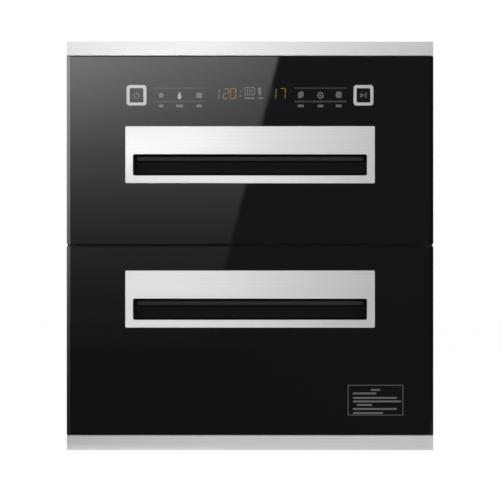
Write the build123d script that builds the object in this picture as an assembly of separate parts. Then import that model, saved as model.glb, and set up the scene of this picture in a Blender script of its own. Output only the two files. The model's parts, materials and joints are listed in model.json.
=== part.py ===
"""Built-in dish sterilizer cabinet with two drawers, in millimetres.

X runs along the front, the front faces -Y, Z is up. The origin is at the middle of the base.
The steel strips and the two glass drawer fronts stand proud of a sheet front frame, and a folded
casing behind the frame slides into a kitchen cut-out. Each drawer runs on two three-member slides.
"""

from build123d import *
import math
import os

os.makedirs("parts", exist_ok=True)

# ---- driving dimensions: the front ----
FRONT_W = 596.0
FRONT_H = 664.0
DEPTH = 450.0
TOP_STRIP_H = 23.2
BOTTOM_STRIP_H = 24.0
STRIP_SHEET = 1.2
STRIP_EDGE_R = 0.8
STRIP_GAP = 1.0
SPLIT_ABOVE_MIDDLE = 1.0
SPLIT_GAP = 4.0

# ---- drawer fronts ----
DOOR_T = 25.0
GLASS_T = 4.0
GLASS_ARRIS = 0.4
SIDE_BEVEL_W = 5.7
SIDE_BEVEL_FALL = 1.2
GLASS_LEDGE = 4.0
DOOR_SHEET = 1.2
DOOR_LIP = 8.0
INNER_PANEL_MARGIN = 1.0

# ---- handle plates and finger recesses ----
PLATE_W = 405.6
PLATE_H = 92.8
PLATE_T = 2.0
PLATE_CORNER_R = 2.0
PLATE_CHAMFER = 0.6
SLOT_W = 380.0
SLOT_H = 34.2
SLOT_CORNER_R = 3.0
SLOT_ABOVE_PLATE_FOOT = 12.8
UPPER_PLATE_DROP = 113.4
LOWER_PLATE_DROP = 39.2
POCKET_DEPTH = 18.0
POCKET_RISE = 10.0
POCKET_WALL = 1.2
POCKET_REAR_R = 8.0
POCKET_CLEAR = 1.0
GRIP_W = 341.0
GRIP_H = 6.5
GRIP_DROP = 1.6
GRIP_REACH = 7.0
GRIP_R = 2.0

# ---- keys and display ----
KEY_X = 184.4
CONTROL_DROP = 63.2
KEY_RING_W = 32.4
KEY_RING_H = 33.2
KEY_RING_R = 5.0
KEY_RING_PROUD = 0.8
KEY_SLEEVE_WALL = 2.0
KEY_SLEEVE_TAIL = 0.4
KEY_CAP_W = 21.9
KEY_CAP_H = 22.7
KEY_CAP_R = 2.2
KEY_CAP_SUNK = 0.3
KEY_FLANGE_LAP = 1.8
KEY_FLANGE_T = 1.5
KEY_STEM_R = 3.0
KEY_STEM_L = 6.0
KEY_TRAVEL = 1.0
KEY_CLEAR = 0.3
BOARD_W = 420.0
BOARD_H = 44.0
BOARD_T = 1.6
BOARD_BEHIND_GLASS = 12.6
DISPLAY_W = 124.0
DISPLAY_H = 28.0
ICON_GUIDE_X = 114.0
ICON_GUIDE_W = 84.0
CARRIER_T = 1.0
CHIP_T = 2.4
CHIP_H = 12.0
CHIP_X_AND_W = ((-60.0, 22.0), (0.0, 30.0), (70.0, 16.0))

# ---- front frame, gasket and casing: insets are from the sides or ends of the front ----
GASKET_T = 3.7
GASKET_W = 7.0
GASKET_MARGIN = 1.5
CLEAR = 0.3
FRAME_T = 1.5
MOUTH_INSET = 37.0
MOUTH_LAP = 15.0
MOUTH_R = 6.0
FIXING_INSET_X = 11.0
FIXING_INSET_Z = 82.0
FIXING_R = 2.25
BODY_INSET = 20.0
BODY_DROP = 24.0
SHEET = 1.0
FLANGE_W = 12.0
BACK_T = 1.2
FOOT_H = 12.0
FOOT_R = 15.0
FOOT_INSET = 38.0
FOOT_STUD_R = 4.0
FOOT_STUD_L = 8.0
LINER_T = 1.0
REAR_SPACE = 61.8
VENT_W = 80.0
VENT_H = 5.0
VENT_PITCH = 12.0
VENT_COLUMN_X = 80.0
VENT_BELOW_FAN = 17.0
BACK_VENT_ROWS = 6
TOP_VENT_ROWS = 4
SCREW_R = 2.0
SCREW_HEAD_R = 3.6
SCREW_HEAD_T = 2.0
SCREW_L = 6.0
SCREW_ROWS = 4
SCREW_CLEAR = 0.1

# ---- drawer slides: u runs from the liner wall inwards, v is vertical ----
RAIL_L = 338.0
RAIL_SETBACK = 4.5
RAIL_DEPTH = 13.0
RAIL_H = 45.0
RAIL_SHEET = 1.2
RAIL_UP = 62.0
RAIL_END_STEP = 2.0
RAIL_HOLE_R = 2.6
RAIL_HOLE_COUNT = 4
OUTER_MOUTH_GAP = 3.0
OUTER_LIP = 2.5
MIDDLE_WEB_U = 3.0
MIDDLE_MOUTH_GAP = 1.4
MIDDLE_LIP = 2.2
MIDDLE_BALLS_U = 5.5
INNER_ROOT_U = 5.2
BALL_R = 2.4
BALL_BITE = 0.2
BALL_CLEAR = 0.4

# ---- drawer frame, drip tray and dish basket ----
DRAWER_PLATE_T = 1.5
DRAWER_PLATE_H = 66.0
DRAWER_PLATE_UP = 22.0
DRAWER_LEDGE_W = 12.0
DRAWER_TAB_W = 20.0
DRAWER_BACK_BAR_H = 28.0
BASKET_BACK_GAP = 41.0
TRAY_SHEET = 1.0
TRAY_DEPTH = 12.0
TRAY_RIM_GAP = 3.5
TRAY_WALL_GAP = 2.5
WIRE_R = 1.6
RIM_R = 2.5
WIRE_SIDES = 8
WELD_BITE = 0.4
MAT_SEAM = 0.5
BASKET_SIDE_GAP = 9.5
BASKET_FRONT_GAP = 10.0
BASKET_H = 100.0
CROSS_WIRE_COUNT = 12
LONG_WIRE_COUNT = 7
DIVIDER_H = 58.0
DIVIDER_SPAN_COUNT = 2
DIVIDER_BACK_COUNT = 3
DIVIDER_COUNT = 11
DIVIDER_PITCH = 36.0

# ---- heater, lamp and fan: the blade pitches are in degrees ----
HEATER_UP = 165.0
HEATER_END_GAP = 56.0
REFLECTOR_FLAT = 101.0
REFLECTOR_MOUTH = 143.2
REFLECTOR_DEPTH = 19.0
TUBE_R = 6.0
TUBE_PITCH = 48.0
TUBE_FROM_WALL = 11.0
CAP_L = 16.0
CAP_H = 22.0
CAP_FRONT = 10.0
CAP_BORE_DEPTH = 12.0
BORE_CLEAR = 0.1
GUARD_REACH = 29.0
GUARD_WIRE_COUNT = 6
GUARD_PITCH = 24.0
LAMP_X = -110.0
LAMP_DROP = 74.8
LAMP_R = 7.5
LAMP_LENGTH = 180.0
LAMP_FROM_WALL = 13.0
HOLDER_W = 20.0
HOLDER_H = 28.0
HOLDER_BITE = 12.0
HOLDER_FRONT = 3.0
FAN_X = 95.0
FAN_ABOVE_MIDDLE = 27.6
FAN_SIZE = 104.0
FAN_DEPTH = 26.0
FAN_CORNER_R = 4.0
FAN_BORE_R = 47.5
FAN_TIP_R = 45.0
FAN_HUB_R = 16.0
FAN_BLADE_COUNT = 7
FAN_BLADE_T = 1.8
FAN_BLADE_CHORD = 20.0
FAN_BLADE_BITE = 1.5
FAN_ROOT_ANGLE = 42.0
FAN_TIP_ANGLE = 24.0
FAN_STRUT_COUNT = 3
FAN_STRUT_ANGLE = 30.0
FAN_STRUT_W = 7.0
FAN_STRUT_T = 3.0
FAN_STRUT_BITE = 1.0
FAN_SHAFT_R = 2.5
FAN_SHAFT_CLEAR = 0.05
FAN_MOTOR_R = 17.0
FAN_MOTOR_L = 20.0
FAN_HUB_FRONT = 4.0
FAN_HUB_L = 17.0
GRILLE_R = 54.0
GRILLE_T = 2.0
GRILLE_BAR = 3.0
GRILLE_RING_RADII = (50.0, 36.5, 24.5, 12.5)
GRILLE_SPOKE_COUNT = 6

# ---- electrics behind the liners ----
POWER_BOARD_W = 150.0
POWER_BOARD_H = 90.0
POWER_BOARD_X = -160.0
POWER_BOARD_UP = 75.0
STANDOFF_L = 10.0
STANDOFF_R = 4.0
GLAND_INSET = 58.0
GLAND_Z = 60.0
GLAND_R = 9.0
GLAND_BORE_R = 3.8
GLAND_TAIL = 6.0
GLAND_LATCH = 2.0
GLAND_COLLAR = 3.0
SWITCH_INSET = 3.5
SWITCH_UP = 130.0
SWITCH_DEPTH = 14.0
SWITCH_H = 28.0
SWITCH_WALL_GAP = 3.0
PLUNGER_R = 2.0

# transformer, two relays and terminal row: x, z, width, height and reach from the board
BOARD_PARTS = (
    (-44.0, 14.0, 44.0, 38.0, 30.0),
    (12.0, 24.0, 19.0, 15.0, 15.0),
    (40.0, 24.0, 19.0, 15.0, 15.0),
    (44.0, -30.0, 50.0, 12.0, 11.0),
)
CAPACITOR_X = 10.0
CAPACITOR_Z = -20.0
CAPACITOR_R = 9.0
CAPACITOR_L = 25.0

# edges within this distance of a plane count as lying in it
FLAT_TOLERANCE = 1e-3

# ---- places that follow from the sizes above ----
SPLIT_Z = FRONT_H / 2 + SPLIT_ABOVE_MIDDLE
MOUTH_W = FRONT_W - 2 * MOUTH_INSET
BODY_W = FRONT_W - 2 * BODY_INSET
FIXING_SPAN_X = FRONT_W - 2 * FIXING_INSET_X
FIXING_SPAN_Z = FRONT_H - 2 * FIXING_INSET_Z
Y_PLATE = -DEPTH / 2
Y_GLASS = Y_PLATE + PLATE_T
Y_GLASS_BACK = Y_GLASS + GLASS_T
Y_DOOR_BACK = Y_GLASS + DOOR_T
Y_INNER = Y_DOOR_BACK - DOOR_SHEET
Y_FRAME = Y_DOOR_BACK + GASKET_T + CLEAR
Y_FRAME_BACK = Y_FRAME + FRAME_T
Y_BACK = DEPTH / 2 - SCREW_HEAD_T
Y_BACK_IN = Y_BACK - BACK_T
Y_LINER_BACK = Y_BACK_IN - REAR_SPACE
Y_WALL = Y_LINER_BACK - LINER_T
Y_BOARD = Y_GLASS_BACK + BOARD_BEHIND_GLASS
Y_RAIL = Y_FRAME_BACK + RAIL_SETBACK
Y_BASKET_BACK = Y_WALL - BASKET_BACK_GAP
BODY_TOP = FRONT_H - BODY_DROP
X_WALL = MOUTH_W / 2
X_BODY_IN = BODY_W / 2 - SHEET
X_DRAWER = X_WALL - RAIL_DEPTH
X_DRAWER_IN = X_DRAWER - DRAWER_PLATE_T
X_SWITCH = X_BODY_IN - SWITCH_INSET
X_GLAND = BODY_W / 2 - GLAND_INSET
GLASS_W = FRONT_W - 2 * SIDE_BEVEL_W
HEATER_HALF_L = X_WALL - HEATER_END_GAP
BALL_STEP = RAIL_SHEET + BALL_CLEAR + 2 * BALL_R - BALL_BITE
MIDDLE_H = RAIL_H - 2 * BALL_STEP
INNER_H = MIDDLE_H - 2 * BALL_STEP


class DrawerPlace:
    """Heights of one drawer: its front, its mouth in the frame and its handle plate."""

    def __init__(self, name, bottom, top, plate_drop):
        self.name = name
        self.bottom = bottom
        self.top = top
        self.height = top - bottom
        self.middle = (top + bottom) / 2
        self.mouth_bottom = bottom + MOUTH_LAP
        self.mouth_top = top - MOUTH_LAP
        self.mouth_height = self.mouth_top - self.mouth_bottom
        self.mouth_middle = (self.mouth_bottom + self.mouth_top) / 2
        self.plate_bottom = top - plate_drop - PLATE_H
        self.slot_bottom = self.plate_bottom + SLOT_ABOVE_PLATE_FOOT
        self.slot_top = self.slot_bottom + SLOT_H
        self.rail_z = self.mouth_bottom + RAIL_UP
        self.ledge_z = self.mouth_bottom + DRAWER_PLATE_UP
        self.switch_z = self.mouth_bottom + SWITCH_UP


UPPER = DrawerPlace("upper", SPLIT_Z + SPLIT_GAP / 2, FRONT_H - TOP_STRIP_H - STRIP_GAP, UPPER_PLATE_DROP)
LOWER = DrawerPlace("lower", BOTTOM_STRIP_H + STRIP_GAP, SPLIT_Z - SPLIT_GAP / 2, LOWER_PLATE_DROP)
Z_CONTROLS = UPPER.top - CONTROL_DROP


# ---- shapes used by several pieces ----
def block(x0, x1, y0, y1, z0, z1):
    """Box between two opposite corners."""
    return Pos((x0 + x1) / 2, (y0 + y1) / 2, (z0 + z1) / 2) * Box(x1 - x0, y1 - y0, z1 - z0)


def slab(width, height, y0, y1, x=0.0, z=0.0, radius=0.0):
    """Upright plate from y0 to y1, a rectangle centred on x and z with rounded corners."""
    plane = Plane(origin=(x, y0, z), x_dir=(1, 0, 0), z_dir=(0, 1, 0))
    outline = RectangleRounded(width, height, radius) if radius else Rectangle(width, height)
    return extrude(plane * outline, amount=y1 - y0)


def rod_y(radius, y0, y1, x, z):
    """Round bar along Y."""
    return Pos(x, (y0 + y1) / 2, z) * Rot(90, 0, 0) * Cylinder(radius, y1 - y0)


def rod_x(radius, x0, x1, y, z):
    """Round bar along X."""
    return Pos((x0 + x1) / 2, y, z) * Rot(0, 90, 0) * Cylinder(radius, x1 - x0)


def along_x(points, x0, x1):
    """Prism along X with an outline given as (y, z) points."""
    return extrude(Plane.YZ.offset(x0) * Polygon(*points, align=None), amount=x1 - x0, dir=(1, 0, 0))


def other_side(shape):
    """The same piece on the other side of the cabinet."""
    return mirror(shape, about=Plane.YZ)


def front_edges(shape, y):
    """The edges of a shape that lie in the plane at y."""

    def in_plane(edge):
        extent = edge.bounding_box()
        return max(abs(extent.min.Y - y), abs(extent.max.Y - y)) < FLAT_TOLERANCE

    return shape.edges().filter_by(in_plane)


def evenly(low, high, count):
    """Places of count pieces between low and high with half a step left at each end."""
    step = (high - low) / count
    return [low + (index + 0.5) * step for index in range(count)]


def wire(points, radius):
    """Bent bar through the points, with as many flats as WIRE_SIDES."""
    first, second = Vector(*points[0]), Vector(*points[1])
    section = Plane(origin=first, z_dir=second - first) * RegularPolygon(radius, WIRE_SIDES)
    return sweep(section, path=Polyline(*points), transition=Transition.RIGHT)


# ---- steel strips above and below the drawers ----
def trim_strip(z0, z1):
    """Hollow strip with closed ends, open towards the front frame."""
    strip = block(-FRONT_W / 2, FRONT_W / 2, Y_GLASS, Y_FRAME, z0, z1)
    strip = fillet(front_edges(strip, Y_GLASS), STRIP_EDGE_R)
    half = FRONT_W / 2 - STRIP_SHEET
    return strip - block(-half, half, Y_GLASS + STRIP_SHEET, Y_FRAME, z0 + STRIP_SHEET, z1 - STRIP_SHEET)


# ---- one drawer front ----
def glass_front(drawer):
    """Black glass with its front arris ground, cut out behind the handle plate."""
    glass = slab(GLASS_W, drawer.height, Y_GLASS, Y_GLASS_BACK, z=drawer.middle)
    glass = chamfer(front_edges(glass, Y_GLASS), GLASS_ARRIS)
    cut_w = SLOT_W + 2 * (POCKET_WALL + POCKET_CLEAR)
    z0 = drawer.slot_bottom - POCKET_WALL - POCKET_CLEAR
    z1 = drawer.slot_top + POCKET_RISE + POCKET_WALL + POCKET_CLEAR
    return glass - slab(cut_w, z1 - z0, Y_GLASS, Y_GLASS_BACK, z=(z0 + z1) / 2, radius=SLOT_CORNER_R)


def door_frame(drawer):
    """Two side profiles with bevelled faces beside the glass, joined by folded rails."""
    half, glass_half = FRONT_W / 2, GLASS_W / 2
    ledge = glass_half - GLASS_LEDGE
    outline = Polygon(
        (glass_half, Y_GLASS),
        (half, Y_GLASS + SIDE_BEVEL_FALL),
        (half, Y_INNER),
        (ledge, Y_INNER),
        (ledge, Y_GLASS_BACK),
        (glass_half, Y_GLASS_BACK),
        align=None,
    )
    side = extrude(Plane.XY.offset(drawer.bottom) * outline, amount=drawer.height)
    frame = side + other_side(side)
    for edge, inward in ((drawer.top, -1), (drawer.bottom, 1)):
        web_z = sorted((edge, edge + inward * DOOR_SHEET))
        lip_z = sorted((edge, edge + inward * DOOR_LIP))
        frame += block(-ledge, ledge, Y_GLASS_BACK, Y_INNER, *web_z)
        frame += block(-ledge, ledge, Y_GLASS_BACK, Y_GLASS_BACK + DOOR_SHEET, *lip_z)
    return frame


def inner_panel(drawer):
    """Steel sheet that closes the back of a drawer front."""
    width = FRONT_W - 2 * INNER_PANEL_MARGIN
    return slab(width, drawer.height - 2 * INNER_PANEL_MARGIN, Y_INNER, Y_DOOR_BACK, z=drawer.middle)


def gasket(drawer):
    """Seal on the back of a drawer front, round the mouth of the chamber."""
    inner_w = MOUTH_W + 2 * GASKET_MARGIN
    inner_h = drawer.mouth_height + 2 * GASKET_MARGIN
    y1 = Y_DOOR_BACK + GASKET_T
    z = drawer.mouth_middle
    outer_r = MOUTH_R + GASKET_MARGIN + GASKET_W
    ring = slab(inner_w + 2 * GASKET_W, inner_h + 2 * GASKET_W, Y_DOOR_BACK, y1, z=z, radius=outer_r)
    return ring - slab(inner_w, inner_h, Y_DOOR_BACK, y1, z=z, radius=MOUTH_R + GASKET_MARGIN)


def handle_plate(drawer):
    """Steel plate on the glass, with the slot for the fingers."""
    plate_z = drawer.plate_bottom + PLATE_H / 2
    slot_z = drawer.slot_bottom + SLOT_H / 2
    plate = slab(PLATE_W, PLATE_H, Y_PLATE, Y_GLASS, z=plate_z, radius=PLATE_CORNER_R)
    plate -= slab(SLOT_W, SLOT_H, Y_PLATE, Y_GLASS, z=slot_z, radius=SLOT_CORNER_R)
    return chamfer(front_edges(plate, Y_PLATE), PLATE_CHAMFER)


def pocket_outline(y0, y1, z0, z1, radius):
    """Side view of the recess: square in front, rounded at the back."""
    with_corners = Plane.YZ * (Pos((y0 + y1) / 2, (z0 + z1) / 2) * Rectangle(y1 - y0, z1 - z0))
    rear = [v for v in with_corners.vertices() if v.Y > (y0 + y1) / 2]
    return fillet(rear, radius)


def handle_pocket(drawer):
    """Black finger recess behind the slot, higher than the slot, with a grip ledge on its back wall."""
    y_in = Y_GLASS + POCKET_DEPTH - POCKET_WALL
    z0, z1 = drawer.slot_bottom, drawer.slot_top + POCKET_RISE
    wall = POCKET_WALL
    outer = pocket_outline(Y_GLASS, y_in + wall, z0 - wall, z1 + wall, POCKET_REAR_R + wall)
    inner = pocket_outline(Y_GLASS, y_in, z0, z1, POCKET_REAR_R)
    pocket = extrude(outer, amount=SLOT_W / 2 + wall, both=True)
    pocket -= extrude(inner, amount=SLOT_W / 2, both=True)
    grip_top = drawer.slot_top - GRIP_DROP
    grip = block(-GRIP_W / 2, GRIP_W / 2, y_in - GRIP_REACH, y_in, grip_top - GRIP_H, grip_top)
    grip = fillet(front_edges(grip, y_in - GRIP_REACH).filter_by(Axis.X), GRIP_R)
    return pocket + grip


# ---- keys, display and board behind the upper glass ----
def key_seat_hole(x):
    """Hole in the glass for the sleeve of one key."""
    grow = 2 * (KEY_CLEAR + KEY_SLEEVE_WALL + KEY_CLEAR)
    radius = KEY_CAP_R + KEY_SLEEVE_WALL
    return slab(KEY_CAP_W + grow, KEY_CAP_H + grow, Y_GLASS, Y_GLASS_BACK, x, Z_CONTROLS, radius)


def key_bezel(x):
    """Metal ring on the glass with a sleeve through it."""
    grow = 2 * KEY_CLEAR
    sleeve = grow + 2 * KEY_SLEEVE_WALL
    tail = Y_GLASS_BACK + KEY_SLEEVE_TAIL
    front = Y_GLASS - KEY_RING_PROUD
    ring = slab(KEY_RING_W, KEY_RING_H, front, Y_GLASS, x, Z_CONTROLS, KEY_RING_R)
    radius = KEY_CAP_R + KEY_SLEEVE_WALL
    ring += slab(KEY_CAP_W + sleeve, KEY_CAP_H + sleeve, Y_GLASS, tail, x, Z_CONTROLS, radius)
    return ring - slab(KEY_CAP_W + grow, KEY_CAP_H + grow, front, tail, x, Z_CONTROLS, KEY_CAP_R)


def key_cap(x):
    """Key that slides in its bezel, held by a flange behind it, with a stem to its switch."""
    front = Y_GLASS - KEY_RING_PROUD + KEY_CAP_SUNK
    flange = Y_GLASS_BACK + KEY_SLEEVE_TAIL + CLEAR
    stem = flange + KEY_FLANGE_T
    cap = slab(KEY_CAP_W, KEY_CAP_H, front, flange, x, Z_CONTROLS, KEY_CAP_R)
    lap = 2 * KEY_FLANGE_LAP
    cap += slab(KEY_CAP_W + lap, KEY_CAP_H + lap, flange, stem, x, Z_CONTROLS, KEY_CAP_R)
    return cap + rod_y(KEY_STEM_R, stem, stem + KEY_STEM_L, x, Z_CONTROLS)


def control_board():
    """Circuit board with one small switch behind each key and a few chips."""
    board = slab(BOARD_W, BOARD_H, Y_BOARD, Y_BOARD + BOARD_T, z=Z_CONTROLS)
    stem_end = Y_GLASS_BACK + KEY_SLEEVE_TAIL + CLEAR + KEY_FLANGE_T + KEY_STEM_L
    switch_face = stem_end + KEY_TRAVEL + CLEAR
    for x in (-KEY_X, KEY_X):
        board += slab(2 * KEY_STEM_R, 2 * KEY_STEM_R, switch_face, Y_BOARD, x, Z_CONTROLS)
    rear = Y_BOARD + BOARD_T
    for x, width in CHIP_X_AND_W:
        board += slab(width, CHIP_H, rear, rear + CHIP_T, x, Z_CONTROLS)
    return board


def display_module():
    """Carrier with the digit block in the middle and a light guide for each group of symbols."""
    face = Y_GLASS_BACK + CLEAR
    carrier_w = 2 * ICON_GUIDE_X + ICON_GUIDE_W
    module = slab(carrier_w, DISPLAY_H, Y_BOARD - CARRIER_T, Y_BOARD, z=Z_CONTROLS)
    module += slab(DISPLAY_W, DISPLAY_H, face, Y_BOARD, z=Z_CONTROLS)
    for x in (-ICON_GUIDE_X, ICON_GUIDE_X):
        module += slab(ICON_GUIDE_W, DISPLAY_H, face, Y_BOARD, x, Z_CONTROLS)
    return module


def board_bosses():
    """Four bosses on the upper inner panel that carry the control board."""
    bosses = []
    for x in (-BOARD_W / 2 + 2 * STANDOFF_R, BOARD_W / 2 - 2 * STANDOFF_R):
        for z in (Z_CONTROLS - BOARD_H / 2 + STANDOFF_R, Z_CONTROLS + BOARD_H / 2 - STANDOFF_R):
            bosses.append(rod_y(STANDOFF_R, Y_BOARD + BOARD_T, Y_INNER, x, z))
    return bosses


# ---- front frame, chambers and casing ----
def front_frame():
    """Sheet frame behind the drawer fronts, with a mouth for each chamber and its fixing holes."""
    frame = slab(FRONT_W, FRONT_H, Y_FRAME, Y_FRAME_BACK, z=FRONT_H / 2)
    for drawer in (UPPER, LOWER):
        z, height = drawer.mouth_middle, drawer.mouth_height
        frame -= slab(MOUTH_W, height, Y_FRAME, Y_FRAME_BACK, z=z, radius=MOUTH_R)
        frame -= rod_y(PLUNGER_R + CLEAR, Y_FRAME, Y_FRAME_BACK, X_SWITCH, drawer.switch_z)
    for x in (-FIXING_SPAN_X / 2, FIXING_SPAN_X / 2):
        for z in (FRONT_H / 2 - FIXING_SPAN_Z / 2, FRONT_H / 2 + FIXING_SPAN_Z / 2):
            frame -= rod_y(FIXING_R, Y_FRAME, Y_FRAME_BACK, x, z)
    return frame


def liner(drawer):
    """Drawn steel chamber, open to the front."""
    grow = 2 * LINER_T
    z, height = drawer.mouth_middle, drawer.mouth_height
    radius = MOUTH_R + LINER_T
    outer = slab(MOUTH_W + grow, height + grow, Y_FRAME_BACK, Y_LINER_BACK, z=z, radius=radius)
    return outer - slab(MOUTH_W, height, Y_FRAME_BACK, Y_WALL, z=z, radius=MOUTH_R)


def side_panel():
    """Right side of the casing with a flange behind the front frame and one at the back."""
    web = block(X_BODY_IN, BODY_W / 2, Y_FRAME_BACK, Y_BACK_IN, FOOT_H, BODY_TOP)
    x0 = X_BODY_IN - FLANGE_W
    z0, z1 = FOOT_H + SHEET, BODY_TOP - SHEET
    panel = web + block(x0, X_BODY_IN, Y_FRAME_BACK, Y_FRAME_BACK + SHEET, z0, z1)
    panel += block(x0, X_BODY_IN, Y_BACK_IN - SHEET, Y_BACK_IN, z0, z1)
    for drawer in (UPPER, LOWER):
        y1 = Y_FRAME_BACK + SHEET
        panel -= rod_y(PLUNGER_R + CLEAR, Y_FRAME_BACK, y1, X_SWITCH, drawer.switch_z)
    for x, z in screw_places():
        if x > 0:
            panel -= rod_y(SCREW_R + SCREW_CLEAR, Y_BACK_IN - SHEET, Y_BACK_IN, x, z)
    return panel


def cover_panel(outer_z, inward):
    """Top or bottom of the casing, with flanges turned inwards on all four sides."""
    z = sorted((outer_z, outer_z + inward * SHEET))
    flange_z = sorted((outer_z + inward * SHEET, outer_z + inward * (SHEET + FLANGE_W)))
    panel = block(-X_BODY_IN, X_BODY_IN, Y_FRAME_BACK, Y_BACK_IN, *z)
    room = 2 * SHEET
    for side in (-1, 1):
        x = sorted((side * X_BODY_IN, side * (X_BODY_IN - SHEET)))
        panel += block(*x, Y_FRAME_BACK + room, Y_BACK_IN - room, *flange_z)
    x1 = X_BODY_IN - FLANGE_W - SHEET
    panel += block(-x1, x1, Y_FRAME_BACK, Y_FRAME_BACK + SHEET, *flange_z)
    return panel + block(-x1, x1, Y_BACK_IN - SHEET, Y_BACK_IN, *flange_z)


def back_vents(z0):
    """Two columns of round-ended slots through the back panel, the lowest row at z0."""
    slots = []
    for x in (-VENT_COLUMN_X, VENT_COLUMN_X):
        for row in range(BACK_VENT_ROWS):
            z = z0 + row * VENT_PITCH
            plane = Plane(origin=(x, Y_BACK_IN, z), x_dir=(1, 0, 0), z_dir=(0, 1, 0))
            slots.append(extrude(plane * SlotOverall(VENT_W, VENT_H), amount=BACK_T))
    return slots


def top_vents():
    """Two columns of round-ended slots through the top panel, over the middle of the rear space."""
    span = (TOP_VENT_ROWS - 1) * VENT_PITCH
    y0 = (Y_LINER_BACK + Y_BACK_IN - span) / 2
    slots = []
    for x in (-VENT_COLUMN_X, VENT_COLUMN_X):
        for row in range(TOP_VENT_ROWS):
            place = Pos(x, y0 + row * VENT_PITCH, BODY_TOP - SHEET)
            slots.append(extrude(place * SlotOverall(VENT_W, VENT_H), amount=SHEET))
    return slots


def screw_places():
    """Places of the screws that hold the back panel."""
    x = X_BODY_IN - FLANGE_W / 2
    step = (BODY_TOP - FOOT_H - 4 * FLANGE_W) / (SCREW_ROWS - 1)
    rows = [FOOT_H + 2 * FLANGE_W + row * step for row in range(SCREW_ROWS)]
    return [(side * x, z) for side in (-1, 1) for z in rows]


def back_panel():
    """Rear sheet with vents, screw holes and the hole for the mains gland."""
    panel = block(-BODY_W / 2, BODY_W / 2, Y_BACK_IN, Y_BACK, FOOT_H, BODY_TOP)
    for x, z in screw_places():
        panel -= rod_y(SCREW_R + SCREW_CLEAR, Y_BACK_IN, Y_BACK, x, z)
    panel -= rod_y(GLAND_R, Y_BACK_IN, Y_BACK, X_GLAND, GLAND_Z)
    for z in (FOOT_H + BACK_VENT_ROWS * VENT_PITCH, fan_z() - VENT_BELOW_FAN):
        for slot in back_vents(z):
            panel -= slot
    return panel


def casing_screws():
    """Pan head screws through the back panel."""
    screws = []
    for x, z in screw_places():
        head = rod_y(SCREW_HEAD_R, Y_BACK, Y_BACK + SCREW_HEAD_T, x, z)
        screws.append(head + rod_y(SCREW_R, Y_BACK - SCREW_L, Y_BACK, x, z))
    return Compound(children=screws)


def foot_places():
    """Centres of the four feet."""
    x = BODY_W / 2 - FOOT_INSET
    return [(sx * x, y) for sx in (-1, 1) for y in (Y_FRAME_BACK + FOOT_INSET, Y_BACK_IN - FOOT_INSET)]


def feet():
    """Round rubber feet with a stud through the bottom panel."""
    pads = []
    for x, y in foot_places():
        pad = Pos(x, y, FOOT_H / 2) * Cylinder(FOOT_R, FOOT_H)
        pads.append(pad + Pos(x, y, FOOT_H + FOOT_STUD_L / 2) * Cylinder(FOOT_STUD_R, FOOT_STUD_L))
    return Compound(children=pads)


def bottom_panel():
    """Bottom of the casing with holes for the foot studs."""
    panel = cover_panel(FOOT_H, 1)
    for x, y in foot_places():
        panel -= Pos(x, y, FOOT_H + SHEET / 2) * Cylinder(FOOT_STUD_R + CLEAR, SHEET)
    return panel


def top_panel():
    """Top of the casing with vents over the rear space."""
    panel = cover_panel(BODY_TOP, -1)
    for slot in top_vents():
        panel -= slot
    return panel


# ---- three-member telescopic slides, drawn for the right side ----
def rail_profile(points, y0, length, z):
    """Prism along Y with an outline given as (u, v) points, u from the liner wall inwards."""
    plane = Plane(origin=(X_WALL, y0, z), x_dir=(-1, 0, 0), z_dir=(0, 1, 0))
    return extrude(plane * Polygon(*points, align=None), amount=length, dir=(0, 1, 0))


def channel_points(web_u, mouth_u, half, lip):
    """Outline of a lipped channel: web at web_u, flanges out to mouth_u, lips turned inwards."""
    t = RAIL_SHEET
    upper = [
        (web_u, half),
        (mouth_u, half),
        (mouth_u, half - t - lip),
        (mouth_u - t, half - t - lip),
        (mouth_u - t, half - t),
        (web_u + t, half - t),
    ]
    lower = [(u, -v) for u, v in reversed(upper)]
    return upper + lower


def ball_row(u, v, y0, length, z):
    """Row of balls in its cage, as one round bead."""
    return rod_y(BALL_R, y0, y0 + length, X_WALL - u, z + v)


def with_fixing_holes(rail, web_u, y0, length, z):
    """A rail with a row of holes through its web, which starts at web_u."""
    x1 = X_WALL - web_u
    for y in evenly(y0, y0 + length, RAIL_HOLE_COUNT):
        rail -= rod_x(RAIL_HOLE_R, x1 - RAIL_SHEET, x1, y, z)
    return rail


def outer_rail(drawer):
    """Fixed member on the liner wall."""
    points = channel_points(0.0, RAIL_DEPTH - OUTER_MOUTH_GAP, RAIL_H / 2, OUTER_LIP)
    rail = rail_profile(points, Y_RAIL, RAIL_L, drawer.rail_z)
    return with_fixing_holes(rail, 0.0, Y_RAIL, RAIL_L, drawer.rail_z)


def middle_rail(drawer):
    """Member between the fixed one and the drawer's, with a bead of balls above and below."""
    z, half = drawer.rail_z, MIDDLE_H / 2
    length = RAIL_L - 2 * RAIL_END_STEP
    y0 = Y_RAIL + RAIL_END_STEP
    points = channel_points(MIDDLE_WEB_U, RAIL_DEPTH - MIDDLE_MOUTH_GAP, half, MIDDLE_LIP)
    rail = rail_profile(points, y0, length, z)
    for side in (-1, 1):
        rail += ball_row(MIDDLE_BALLS_U, side * (half + BALL_R - BALL_BITE), y0, length, z)
    return rail


def inner_rail(drawer):
    """Member on the drawer frame, with a bead of balls above and below."""
    z, half = drawer.rail_z, INNER_H / 2
    y0 = Y_RAIL + RAIL_END_STEP
    length = Y_BASKET_BACK - y0
    t, root = RAIL_SHEET, INNER_ROOT_U
    points = [(RAIL_DEPTH, half), (root, half), (root, half - t), (RAIL_DEPTH - t, half - t)]
    points += [(u, -v) for u, v in reversed(points)]
    rail = rail_profile(points, y0, length, z)
    for side in (-1, 1):
        rail += ball_row(root + BALL_R, side * (half + BALL_R - BALL_BITE), y0, length, z)
    return with_fixing_holes(rail, RAIL_DEPTH - t, y0, length, z)


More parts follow.
